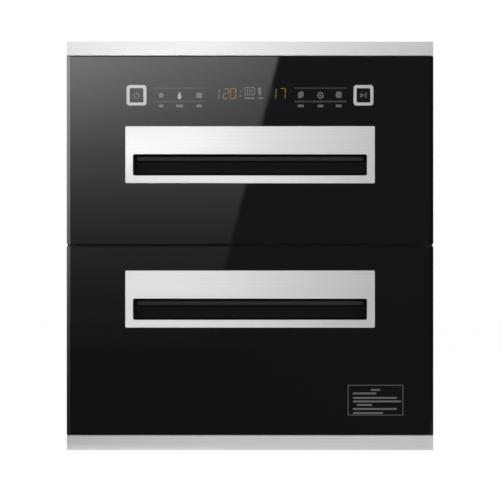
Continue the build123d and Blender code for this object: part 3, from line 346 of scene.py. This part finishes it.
class Nodes:
    """Short names for the nodes that the finishes use. Texture scales are in cycles a metre."""

    def __init__(self, material):
        self.tree = material.node_tree
        self.shader = self.tree.nodes["Principled BSDF"]
        self.place = self.tree.nodes.new("ShaderNodeTexCoord").outputs["Object"]

    def link(self, output, target):
        self.tree.links.new(output, target)

    def stretched(self, scale):
        """Object coordinates times a scale in X, Y and Z."""
        mapping = self.tree.nodes.new("ShaderNodeMapping")
        mapping.inputs["Scale"].default_value = scale
        self.link(self.place, mapping.inputs["Vector"])
        return mapping.outputs["Vector"]

    def noise(self, scale, detail=3.0, rough=0.5):
        """Noise over the stretched coordinates."""
        noise = self.tree.nodes.new("ShaderNodeTexNoise")
        noise.inputs["Scale"].default_value = 1.0
        noise.inputs["Detail"].default_value = detail
        noise.inputs["Roughness"].default_value = rough
        self.link(self.stretched(scale), noise.inputs["Vector"])
        return noise.outputs["Fac"]

    def cells(self, scale):
        """Colour of Voronoi cells."""
        cells = self.tree.nodes.new("ShaderNodeTexVoronoi")
        cells.inputs["Scale"].default_value = 1.0
        self.link(self.stretched(scale), cells.inputs["Vector"])
        return cells.outputs["Color"]

    def spread(self, source, low, high, start=0.3, end=0.7):
        """Map a texture from start..end to low..high."""
        node = self.tree.nodes.new("ShaderNodeMapRange")
        node.inputs["From Min"].default_value = start
        node.inputs["From Max"].default_value = end
        node.inputs["To Min"].default_value = low
        node.inputs["To Max"].default_value = high
        self.link(source, node.inputs["Value"])
        return node.outputs["Result"]

    def blend(self, source, first, second):
        """Mix of two colours by a texture."""
        node = self.tree.nodes.new("ShaderNodeMix")
        node.data_type = "RGBA"
        node.inputs["A"].default_value = (*first, 1.0)
        node.inputs["B"].default_value = (*second, 1.0)
        self.link(source, node.inputs["Factor"])
        return node.outputs["Result"]

    def bump(self, source, depth):
        """Bump of a real depth in metres."""
        node = self.tree.nodes.new("ShaderNodeBump")
        node.inputs["Strength"].default_value = 1.0
        node.inputs["Distance"].default_value = depth
        self.link(source, node.inputs["Height"])
        return node.outputs["Normal"]

    def finish(self, colour=None, roughness=None, normal=None):
        """Link what varies over the surface."""
        outputs = {"Base Color": colour, "Roughness": roughness, "Normal": normal}
        for socket, output in outputs.items():
            if output is not None:
                self.link(output, self.shader.inputs[socket])


def grey(value, tint=0.0):
    """Near-neutral colour, warmer for a positive tint."""
    return (value * (1 + tint), value, value * (1 - tint))


# ---- finishes ----
def black_glass():
    """Polished black glass with faint dust and wiping marks."""
    material = new_material("black_glass", IOR=1.5)
    n = Nodes(material)
    dust = n.noise((900, 900, 900), detail=2.0)
    wipe = n.noise((6, 6, 18), detail=4.0)
    specks = n.spread(dust, 0.0, 1.0, start=0.66, end=0.80)
    n.finish(
        colour=n.blend(specks, (0.0044, 0.0045, 0.0052), (0.009, 0.009, 0.010)),
        roughness=n.spread(wipe, 0.0, 0.035, start=0.35, end=0.75),
    )
    return material


def brushed_steel(name, level, roughness, stretch):
    """Brushed stainless steel with its grain along X."""
    material = new_material(name, Metallic=1.0, Anisotropic=stretch, Anisotropic_Rotation=0.25)
    n = Nodes(material)
    fine = n.noise((5, 900, 900), detail=5.0, rough=0.65)
    broad = n.noise((2.2, 9, 14), detail=2.0)
    darker, lighter = grey(level * 0.93, 0.004), grey(level * 1.04, 0.004)
    n.finish(
        colour=n.blend(n.spread(fine, 0.0, 1.0), darker, lighter),
        roughness=n.spread(broad, roughness - 0.03, roughness + 0.03),
        normal=n.bump(fine, depth=0.000004),
    )
    return material


def sheet_steel(name, level, roughness):
    """Satin rolled sheet with faint rolling marks and soft smudges."""
    material = new_material(name, Metallic=1.0)
    n = Nodes(material)
    rolled = n.noise((260, 260, 6), detail=3.0)
    smudge = n.noise((16, 16, 16), detail=4.0)
    n.finish(
        colour=n.blend(n.spread(rolled, 0.0, 1.0), grey(level * 0.95), grey(level * 1.03)),
        roughness=n.spread(smudge, roughness - 0.03, roughness + 0.04),
        normal=n.bump(rolled, depth=0.000003),
    )
    return material


def zinc_sheet():
    """Zinc coated sheet with its spangle."""
    material = new_material("zinc_sheet", Metallic=0.9)
    n = Nodes(material)
    flakes = n.cells((190, 190, 190))
    cloudy = n.noise((45, 45, 45), detail=4.0)
    tone = n.tree.nodes.new("ShaderNodeRGBToBW")
    n.link(flakes, tone.inputs["Color"])
    spangle = n.spread(tone.outputs["Val"], 0.0, 1.0, start=0.2, end=0.8)
    n.finish(
        colour=n.blend(spangle, (0.56, 0.575, 0.59), (0.64, 0.655, 0.665)),
        roughness=n.spread(cloudy, 0.52, 0.60),
        normal=n.bump(tone.outputs["Val"], depth=0.00001),
    )
    return material


def painted(name, colour, roughness):
    """Powder coat with its fine orange peel."""
    material = new_material(name)
    n = Nodes(material)
    peel = n.noise((700, 700, 700), detail=2.0)
    cloudy = n.noise((12, 12, 12), detail=3.0)
    darker = tuple(c * 0.88 for c in colour)
    n.finish(
        colour=n.blend(n.spread(cloudy, 0.0, 1.0), darker, colour),
        roughness=n.spread(cloudy, roughness - 0.05, roughness + 0.05),
        normal=n.bump(peel, depth=0.00002),
    )
    return material


def moulded(name, colour, roughness, depth=0.00002, scale=1100, **values):
    """Moulded plastic, rubber or ceramic with a fine grain."""
    material = new_material(name, **values)
    n = Nodes(material)
    grain = n.noise((scale, scale, scale), detail=2.0)
    cloudy = n.noise((25, 25, 25), detail=3.0)
    darker = tuple(c * 0.85 for c in colour)
    n.finish(
        colour=n.blend(n.spread(cloudy, 0.0, 1.0), darker, colour),
        roughness=n.spread(grain, roughness - 0.06, roughness + 0.06),
        normal=n.bump(grain, depth),
    )
    return material


def anodised(name):
    """Black anodised aluminium with its satin gloss and faint drawing lines."""
    material = new_material(name, IOR=1.5)
    n = Nodes(material)
    drawn = n.noise((900, 900, 4), detail=3.0)
    n.finish(
        colour=n.blend(n.spread(drawn, 0.0, 1.0), (0.001, 0.001, 0.0013), (0.002, 0.002, 0.0024)),
        roughness=n.spread(drawn, 0.12, 0.18),
        normal=n.bump(drawn, depth=0.000001),
    )
    return material


def polished_metal(name, colour, roughness):
    """Plated or polished metal with fine scratches."""
    material = new_material(name, Metallic=1.0)
    n = Nodes(material)
    scratches = n.noise((400, 60, 400), detail=4.0)
    darker = tuple(c * 0.92 for c in colour)
    n.finish(
        colour=n.blend(n.spread(scratches, 0.0, 1.0), darker, colour),
        roughness=n.spread(scratches, roughness * 0.7, roughness * 1.4),
    )
    return material


def circuit_board(name, middle):
    """Green lacquered board round a depth, with copper tracks, and dark parts standing on it."""
    material = new_material(name)
    n = Nodes(material)
    tracks = n.tree.nodes.new("ShaderNodeTexBrick")
    tracks.inputs["Scale"].default_value = 1.0
    tracks.inputs["Mortar Size"].default_value = 0.06
    tracks.inputs["Color1"].default_value = (0.012, 0.10, 0.045, 1.0)
    tracks.inputs["Color2"].default_value = (0.016, 0.12, 0.05, 1.0)
    tracks.inputs["Mortar"].default_value = (0.03, 0.2, 0.08, 1.0)
    turned = n.tree.nodes.new("ShaderNodeMapping")
    turned.inputs["Rotation"].default_value = (math.pi / 2, 0, 0)
    turned.inputs["Scale"].default_value = (220, 220, 220)
    n.link(n.place, turned.inputs["Vector"])
    n.link(turned.outputs["Vector"], tracks.inputs["Vector"])
    split = n.tree.nodes.new("ShaderNodeSeparateXYZ")
    n.link(n.place, split.inputs[0])
    raised = n.tree.nodes.new("ShaderNodeMath")
    raised.operation = "COMPARE"
    raised.inputs[1].default_value = middle
    raised.inputs[2].default_value = BOARD_HALF
    n.link(split.outputs["Y"], raised.inputs[0])
    cloudy = n.noise((60, 60, 60))
    parts = n.blend(n.spread(cloudy, 0.0, 1.0), (0.018, 0.018, 0.020), (0.035, 0.035, 0.038))
    mix = n.tree.nodes.new("ShaderNodeMix")
    mix.data_type = "RGBA"
    n.link(raised.outputs[0], mix.inputs["Factor"])
    n.link(parts, mix.inputs["A"])
    n.link(tracks.outputs["Color"], mix.inputs["B"])
    n.finish(
        colour=mix.outputs["Result"],
        roughness=n.spread(cloudy, 0.25, 0.4),
        normal=n.bump(tracks.outputs["Fac"], depth=0.00003),
    )
    return material


def tube_glass(name, colour, roughness):
    """Frosted or clear tube glass."""
    material = new_material(name, Transmission_Weight=0.75, IOR=1.46)
    n = Nodes(material)
    frost = n.noise((90, 300, 300), detail=3.0)
    lighter = tuple(min(1.0, c * 1.05) for c in colour)
    n.finish(
        colour=n.blend(n.spread(frost, 0.0, 1.0), colour, lighter),
        roughness=n.spread(frost, roughness - 0.05, roughness + 0.05),
    )
    return material


def ink(name):
    """Printed or back-lit mark, as glossy as the glass and a little uneven."""
    colour, glow = INKS[name]
    material = new_material(name, Emission_Strength=glow, Emission_Color=(*colour, 1.0))
    n = Nodes(material)
    uneven = n.noise((900, 900, 900), detail=3.0)
    darker = tuple(c * 0.8 for c in colour)
    n.finish(
        colour=n.blend(n.spread(uneven, 0.0, 1.0), darker, colour),
        roughness=n.spread(uneven, 0.01, 0.05),
    )
    return material


def make_finishes():
    """One material for each material slot of the record, but for the boards."""
    return {
        "black_glass": black_glass(),
        "brushed_strip": brushed_steel("brushed_plate", level=0.78, roughness=0.325, stretch=0.82),
        "edge_profile": anodised("edge_profile"),
        "inner_steel": sheet_steel("inner_steel", level=0.66, roughness=0.32),
        "zinc_sheet": zinc_sheet(),
        "frame_paint": painted("frame_paint", (0.045, 0.045, 0.048), roughness=0.5),
        "rail_steel": polished_metal("rail_steel", (0.62, 0.63, 0.65), roughness=0.28),
        "basket_wire": polished_metal("basket_wire", (0.80, 0.81, 0.82), roughness=0.1),
        "reflector": polished_metal("reflector", (0.74, 0.74, 0.73), roughness=0.14),
        "screw_steel": polished_metal("screw_steel", (0.60, 0.60, 0.61), roughness=0.25),
        # Colour darker than the plastic itself: partly real black plastic, partly painted shade in
        # the deep handle slots.
        "black_plastic": moulded(
            "black_plastic", (0.0018, 0.0026, 0.0048), roughness=0.5, Specular_IOR_Level=0.12
        ),
        "white_plastic": moulded("white_plastic", (0.76, 0.76, 0.74), roughness=0.4),
        "key_black": moulded("key_black", (0.005, 0.005, 0.006), roughness=0.08, depth=0.000001),
        "gasket_rubber": moulded("gasket_rubber", (0.05, 0.05, 0.052), roughness=0.7),
        "foot_rubber": moulded("foot_rubber", (0.025, 0.025, 0.026), roughness=0.75, depth=0.00004),
        "quartz": tube_glass("quartz", (0.92, 0.88, 0.82), roughness=0.35),
        "lamp_glass": tube_glass("lamp_glass", (0.86, 0.89, 0.98), roughness=0.1),
        "ceramic": moulded("ceramic", (0.82, 0.79, 0.72), roughness=0.3, depth=0.00001, scale=400),
    }


def dress_nodes(finishes):
    """Give each CAD node the finish of its slot, or its own where it has one."""
    own = {
        # The trim strips are copies of the plates' brushed steel: the top copy is painted a little
        # lighter (painted light) and the bottom copy much darker (painted shade).
        "top_trim_strip": brushed_steel("top_strip_painted_light", level=0.82, roughness=0.36, stretch=0.76),
        "bottom_trim_strip": brushed_steel("bottom_strip_painted_shade", level=0.605, roughness=0.36, stretch=0.7),
        "key_bezels": brushed_steel("key_ring", level=0.58, roughness=0.36, stretch=0.5),
        "power_board": circuit_board("power_board", POWER_BOARD_Y),
        "control_board": circuit_board("control_board", CONTROL_BOARD_Y),
    }
    for subpart in frame["record"]["subparts"]:
        finish = own.get(subpart["node"]) or finishes[subpart["material_slot"]]
        for slot in frame["nodes"][subpart["node"]].material_slots:
            slot.material = finish


# ---- marks on the glass and the keys, and grip lips ----
def mark(name, bm, material, body):
    """Finished set of marks that rides on a body."""
    obj = new_object(name, bm)
    obj.data.materials.append(material)
    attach(obj, body)


def symbols_and_captions():
    """Programme symbols left and right of the display, with plain bars and thin rules."""
    y = GLASS_Y - INK_GAP
    near, middle, far = SYMBOL_X
    bright, left, right, rules = bmesh.new(), bmesh.new(), bmesh.new(), bmesh.new()
    add_prism(bright, drop(-middle, CONTROL_Z, *FLAME), y)
    mark("flame_symbol", bright, ink("ink_bright"), "upper_drawer")
    add_prism(left, ellipse(-far, CONTROL_Z, DOT_R, DOT_R), y)
    add_prism(left, rounded(-near, CONTROL_Z, *BOWL), y)
    add_prism(right, leaf(near, CONTROL_Z + SYMBOL_UP, *LEAF), y)
    outside = ellipse(middle, CONTROL_Z, *DIAL_OUTSIDE)
    add_ring(right, outside, ellipse(middle, CONTROL_Z, *DIAL_INSIDE), y)
    add_prism(right, ellipse(middle, CONTROL_Z, *DIAL_HUB), y)
    add_prism(right, rounded(far, CONTROL_Z + SYMBOL_UP, *TILE), y)
    captions_z = CONTROL_Z - CAPTION_DROP
    for x, width in zip((-far, -middle, -near), LEFT_CAPTIONS):
        add_prism(left, rectangle(x, captions_z, width, CAPTION_H), y)
    for x in SYMBOL_X:
        add_prism(right, rectangle(x, captions_z, RIGHT_CAPTION, CAPTION_H), y)
    x0, x1 = RULE_X
    for side, up, line in RULES:
        x = side * (x0 + x1) / 2
        add_prism(rules, rectangle(x, CONTROL_Z + up, x1 - x0, line), y)
    mark("left_symbols", left, ink("ink_left_painted_light"), "upper_drawer")
    mark("right_symbols", right, ink("ink_right_painted_shade"), "upper_drawer")
    mark("thin_rules", rules, ink("ink_rule"), "upper_drawer")


def display():
    """Amber digits left and right, and small cool symbols between them."""
    y = GLASS_Y - INK_GAP
    digits = bmesh.new()
    for char, x in DIGITS:
        add_digit(digits, char, x, CONTROL_Z + DIGIT_UP, y)
    mark("display_digits", digits, ink("amber"), "upper_drawer")
    small = bmesh.new()
    for dz in (-COLON_SPREAD, COLON_SPREAD):
        add_prism(small, ellipse(COLON_X, CONTROL_Z + DIGIT_UP + dz, COLON_R, COLON_R), y)
    x, up, width, height = RACK_ICON
    z = CONTROL_Z + up
    inset = 2 * ICON_LINE
    outside = rounded(x, z, width, height, RACK_CORNERS[0])
    inside = rounded(x, z, width - inset, height - inset, RACK_CORNERS[1])
    add_ring(small, outside, inside, y)
    step = (width - inset) / (RACK_BARS + 1)
    for i in range(RACK_BARS):
        bar_x = x + step * (i - (RACK_BARS - 1) / 2)
        add_prism(small, rectangle(bar_x, z, ICON_LINE, height - 2 * inset), y)
    x, up, width, height = TUBE_ICON
    add_prism(small, rounded(x, CONTROL_Z + up, width, height, TUBE_CORNER), y)
    for x, width in UNDERLINES:
        add_prism(small, rectangle(x, CONTROL_Z - UNDERLINE_DROP, width, UNDERLINE_H), y)
    mark("display_symbols", small, ink("cool_white"), "upper_drawer")


def key_marks():
    """Power mark on the left key and start mark on the right one."""
    y = CAP_Y - INK_GAP
    power = bmesh.new()
    turn = 2 * (math.pi - POWER_RING_OPEN)
    outer, inner = [], []
    for i in range(POWER_RING_STEPS + 1):
        t = math.pi / 2 + POWER_RING_OPEN + turn * i / POWER_RING_STEPS
        for points, radius in zip((outer, inner), POWER_RING):
            z = CONTROL_Z - POWER_RING_DROP + radius * math.sin(t)
            points.append((-KEY_X + radius * math.cos(t), z))
    add_prism(power, outer + list(reversed(inner)), y)
    up, width, height = POWER_BAR
    add_prism(power, rectangle(-KEY_X, CONTROL_Z + up, width, height), y)
    mark("power_mark", power, ink("ink_power_painted_light"), "power_key")
    start = bmesh.new()
    back, tip, half = START_ARROW
    low, high = (KEY_X + back, CONTROL_Z - half), (KEY_X + back, CONTROL_Z + half)
    add_prism(start, [low, (KEY_X + tip, CONTROL_Z), high], y)
    for dx in START_BARS:
        add_prism(start, rectangle(KEY_X + dx, CONTROL_Z, *START_BAR), y)
    mark("start_mark", start, ink("ink_start_painted_shade"), "start_key")


def printed_panel():
    """Thin frame with plain bars on the lower glass, where the photo has a small printed panel."""
    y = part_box("lower_glass_front")[0].y - INK_GAP
    x0, x1, z0, z1 = PANEL_BOX
    x, z, w, h = (x0 + x1) / 2, (z0 + z1) / 2, x1 - x0, z1 - z0
    inset = 2 * PANEL_LINE_T
    border = bmesh.new()
    add_ring(border, rectangle(x, z, w, h), rectangle(x, z, w - inset, h - inset), y)
    mark("panel_border", border, ink("ink_border"), "lower_drawer")
    rows = bmesh.new()
    for row_z, start, length in PANEL_ROWS:
        add_prism(rows, rectangle(x0 + start + length / 2, row_z, length, PANEL_ROW_H), y)
    mark("panel_rows", rows, ink("ink_rows"), "lower_drawer")


def grip_profile(nose, slot_top):
    """Side outline, y and z, of the lip round the nose of a grip ledge."""
    ledge_bottom = slot_top - GRIP_DROP - GRIP_H
    top, bottom = slot_top - LIP_DROP, slot_top - LIP_DROP - LIP_H
    front, back = nose - LIP_PROUD, nose + LIP_DEPTH
    turns = [math.pi / 2 * i / GRIP_STEPS for i in range(GRIP_STEPS + 1)]
    profile = [(nose - LIP_GAP, top), (front, top)]
    for t in turns:
        y = front + LIP_R - LIP_R * math.cos(t)
        profile.append((y, bottom + LIP_R - LIP_R * math.sin(t)))
    profile += [(back, bottom), (back, ledge_bottom - LIP_GAP)]
    radius = GRIP_R + LIP_GAP
    for t in turns:
        y = nose + GRIP_R - radius * math.sin(t)
        profile.append((y, ledge_bottom + GRIP_R - radius * math.cos(t)))
    return profile


def grip_strips():
    """Soft lip on the nose of each grip ledge, paler than the pocket as a painted highlight for the
    paler band in the slot.
    """
    # Paler than the black pocket: painted highlight on the ledge's nose.
    colour = (0.0215, 0.0205, 0.0235)
    material = moulded("grip_lip_painted_highlight", colour, roughness=0.55, Specular_IOR_Level=0.3)
    for name in ("upper", "lower"):
        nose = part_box(f"{name}_handle_pocket")[1].y - POCKET_WALL - GRIP_REACH
        slot_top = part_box(f"{name}_handle_plate")[0].z + SLOT_TOP_UP
        profile = grip_profile(nose, slot_top)
        bm = bmesh.new()
        half = LIP_W / 2
        ends = [[bm.verts.new((x, y, z)) for y, z in profile] for x in (-half, half)]
        count = len(profile)
        made = [bm.faces.new(ends[0]), bm.faces.new(list(reversed(ends[1])))]
        for i in range(count):
            j = (i + 1) % count
            made.append(bm.faces.new((ends[0][i], ends[0][j], ends[1][j], ends[1][i])))
        bmesh.ops.recalc_face_normals(bm, faces=made)
        mark(f"{name}_grip_strip", bm, material, f"{name}_drawer")


# ---- surroundings ----
def seen_or_lit(tree):
    """1 for rays that look at a surface straight, in a mirror or through glass, else 0."""
    path = tree.nodes.new("ShaderNodeLightPath")
    total = path.outputs["Is Camera Ray"]
    for name in ("Is Glossy Ray", "Is Transmission Ray"):
        add = tree.nodes.new("ShaderNodeMath")
        add.operation = "MAXIMUM"
        tree.links.new(total, add.inputs[0])
        tree.links.new(path.outputs[name], add.inputs[1])
        total = add.outputs[0]
    return total


def set_world(light):
    """White to look at, and a plain soft light of its own level."""
    world = bpy.data.worlds.new("studio")
    scene.world = world
    world.use_nodes = True
    tree = world.node_tree
    tree.nodes.clear()
    lit = tree.nodes.new("ShaderNodeBackground")
    seen = tree.nodes.new("ShaderNodeBackground")
    lit.inputs["Strength"].default_value = light
    seen.inputs["Strength"].default_value = 1.0
    for node in (lit, seen):
        node.inputs["Color"].default_value = (1, 1, 1, 1)
    mix = tree.nodes.new("ShaderNodeMixShader")
    out = tree.nodes.new("ShaderNodeOutputWorld")
    tree.links.new(seen_or_lit(tree), mix.inputs["Fac"])
    tree.links.new(lit.outputs[0], mix.inputs[1])
    tree.links.new(seen.outputs[0], mix.inputs[2])
    tree.links.new(mix.outputs[0], out.inputs["Surface"])


def stage_plane(name, half_x, half_y, material):
    """Flat card round the origin, not part of the object."""
    bm = bmesh.new()
    bmesh.ops.create_grid(bm, x_segments=1, y_segments=1, size=1.0)
    bmesh.ops.scale(bm, vec=(half_x, half_y, 1), verts=bm.verts)
    card = new_object(name, bm)
    card.data.materials.append(material)
    return card


def make_floor():
    """Pale floor that keeps the object's shadow and is white to look at."""
    material = bpy.data.materials.new("floor")
    material.use_nodes = True
    tree = material.node_tree
    tree.nodes.clear()
    matt = tree.nodes.new("ShaderNodeBsdfDiffuse")
    glow = tree.nodes.new("ShaderNodeEmission")
    matt.inputs["Color"].default_value = (*grey(FLOOR_GREY), 1)
    glow.inputs["Strength"].default_value = FLOOR_GLOW
    share = tree.nodes.new("ShaderNodeMath")
    share.operation = "MULTIPLY"
    share.inputs[1].default_value = FLOOR_GLOW_SHARE
    tree.links.new(seen_or_lit(tree), share.inputs[0])
    mix = tree.nodes.new("ShaderNodeMixShader")
    out = tree.nodes.new("ShaderNodeOutputMaterial")
    tree.links.new(share.outputs[0], mix.inputs["Fac"])
    tree.links.new(matt.outputs[0], mix.inputs[1])
    tree.links.new(glow.outputs[0], mix.inputs[2])
    tree.links.new(mix.outputs[0], out.inputs["Surface"])
    floor = stage_plane("floor", FLOOR_HALF, FLOOR_HALF, material)
    floor.location.z = -FLOOR_DROP


def only_glossy(card):
    """Let a card show in reflections and nowhere else."""
    card.visible_camera = False
    card.visible_diffuse = False
    card.visible_transmission = False
    card.visible_shadow = False
    card.visible_volume_scatter = False


class Glow:
    """Emission material whose strength is worked out from the place on a card."""

    def __init__(self, name):
        self.material = bpy.data.materials.new(name)
        self.material.use_nodes = True
        self.tree = self.material.node_tree
        self.tree.nodes.clear()
        place = self.tree.nodes.new("ShaderNodeTexCoord")
        split = self.tree.nodes.new("ShaderNodeSeparateXYZ")
        self.tree.links.new(place.outputs["Object"], split.inputs[0])
        self.x, self.height = split.outputs["X"], split.outputs["Y"]

    def calculate(self, operation, *inputs, clamp=False):
        """One math node."""
        node = self.tree.nodes.new("ShaderNodeMath")
        node.operation = operation
        node.use_clamp = clamp
        for i, value in enumerate(inputs):
            if isinstance(value, (int, float)):
                node.inputs[i].default_value = value
            else:
                self.tree.links.new(value, node.inputs[i])
        return node.outputs[0]

    def between(self, value, start, end, low=0.0, high=1.0):
        """Value mapped smoothly from start..end to low..high."""
        node = self.tree.nodes.new("ShaderNodeMapRange")
        node.interpolation_type = "SMOOTHSTEP"
        numbers = {"From Min": start, "From Max": end, "To Min": low, "To Max": high}
        for name, number in numbers.items():
            node.inputs[name].default_value = number
        self.tree.links.new(value, node.inputs["Value"])
        return node.outputs["Result"]

    def profile(self, value, levels, top):
        """Value looked up in a list of places and levels."""
        ramp = self.tree.nodes.new("ShaderNodeValToRGB")
        low, high = levels[0][0], levels[-1][0]
        above = self.calculate("SUBTRACT", value, low)
        share = self.calculate("DIVIDE", above, high - low, clamp=True)
        self.tree.links.new(share, ramp.inputs["Fac"])
        elements = ramp.color_ramp.elements
        while len(elements) < len(levels):
            elements.new(0.5)
        for element, (level, strength) in zip(elements, levels):
            element.position = (level - low) / (high - low)
            element.color = (strength / top,) * 3 + (1,)
        return self.calculate("MULTIPLY", ramp.outputs["Color"], top)

    def finish(self, strength):
        """Use the result as the strength."""
        glow = self.tree.nodes.new("ShaderNodeEmission")
        out = self.tree.nodes.new("ShaderNodeOutputMaterial")
        self.tree.links.new(strength, glow.inputs["Strength"])
        self.tree.links.new(glow.outputs[0], out.inputs["Surface"])
        return self.material


def window_material():
    """Dark wall with a bright window left of a slanted edge and one far left, fading downwards."""
    glow = Glow("reflection_wall")
    edge = glow.calculate("MULTIPLY_ADD", glow.height, WINDOW_EDGE[1], WINDOW_EDGE[0])
    inside = glow.calculate("DIVIDE", glow.calculate("SUBTRACT", edge, glow.x), WINDOW_SOFT)
    inside = glow.calculate("ADD", inside, 0.5, clamp=True)
    upright = glow.calculate("MULTIPLY_ADD", glow.height, -WINDOW_EDGE[1], glow.x)
    inside = glow.calculate("MULTIPLY", inside, glow.between(upright, *WINDOW_LEFT))
    fade = glow.between(glow.height, *WINDOW_FADE_UP, 0.0, WINDOW_FADE)
    lost = glow.calculate("MULTIPLY", glow.calculate("ADD", glow.x, WINDOW_FADE_LEFT), fade)
    across = glow.calculate("SUBTRACT", 1.0, lost)
    level = glow.profile(glow.height, WINDOW_LEVELS, WINDOW_TOP)
    bright = glow.calculate("MULTIPLY", level, across)
    wall = glow.profile(glow.height, WALL_LEVELS, WALL_TOP)
    wall = glow.calculate("MULTIPLY", wall, glow.between(glow.x, *WALL_RIGHT))
    total = glow.calculate("ADD", glow.calculate("MULTIPLY", bright, inside), wall)
    left, left_full, right_full, right = SIDE_WINDOW
    from_left = glow.between(glow.x, left, left_full)
    from_right = glow.between(glow.x, right, right_full)
    beside = glow.calculate("MULTIPLY", from_left, from_right)
    level = glow.profile(glow.height, SIDE_LEVELS, SIDE_TOP)
    side = glow.calculate("MULTIPLY", level, beside)
    return glow.finish(glow.calculate("ADD", total, side))


def runner_material():
    """Dark floor that is lighter close to the cabinet and to the right."""
    glow = Glow("reflection_runner")
    level = glow.profile(glow.height, RUNNER_LEVELS, RUNNER_TOP)
    across = glow.calculate("MULTIPLY_ADD", glow.x, *RUNNER_SLOPE, clamp=True)
    sloped = glow.calculate("MULTIPLY", level, across)
    return glow.finish(glow.calculate("ADD", sloped, RUNNER_BASE))


def make_reflections():
    """What the glass mirrors to the camera: a dark wall with bright windows, and a dark floor."""
    wall = stage_plane("reflection_wall", WALL_HALF, WALL_HALF, window_material())
    wall.rotation_euler = (math.pi / 2, 0, 0)
    wall.location = (0, GLASS_Y - CAMERA_DISTANCE - WALL_BEHIND, CAMERA_Z)
    left, right, near, far = RUNNER
    half_x, half_y = (right - left) / 2, (far - near) / 2
    runner = stage_plane("reflection_runner", half_x, half_y, runner_material())
    runner.location = ((left + right) / 2, GLASS_Y - (near + far) / 2, RUNNER_LIFT)
    for card in (wall, runner):
        only_glossy(card)


def area_light(name, place, aim, side, energy):
    """Soft square lamp that looks at a point and shows in no reflection."""
    data = bpy.data.lights.new(name, "AREA")
    data.shape = "SQUARE"
    data.size = side
    data.energy = energy
    lamp = bpy.data.objects.new(name, data)
    scene.collection.objects.link(lamp)
    lamp.location = place
    lamp.rotation_euler = (Vector(aim) - Vector(place)).to_track_quat("-Z", "Y").to_euler()
    lamp.visible_glossy = False


def make_camera():
    """Camera straight in front at the photo's distance and framing."""
    data = bpy.data.cameras.new("camera")
    data.sensor_width = SENSOR
    data.lens = SENSOR * CAMERA_DISTANCE / IMAGE_SPAN
    camera = bpy.data.objects.new("camera", data)
    scene.collection.objects.link(camera)
    camera.location = (0, GLASS_Y - CAMERA_DISTANCE, CAMERA_Z)
    camera.rotation_euler = (math.pi / 2, 0, 0)
    scene.camera = camera


dress_nodes(make_finishes())
symbols_and_captions()
display()
key_marks()
printed_panel()
grip_strips()

make_camera()
set_world(WORLD_LIGHT)
make_floor()
make_reflections()
for lamp in LAMPS:
    area_light(*lamp)
scene.view_settings.view_transform = "Standard"
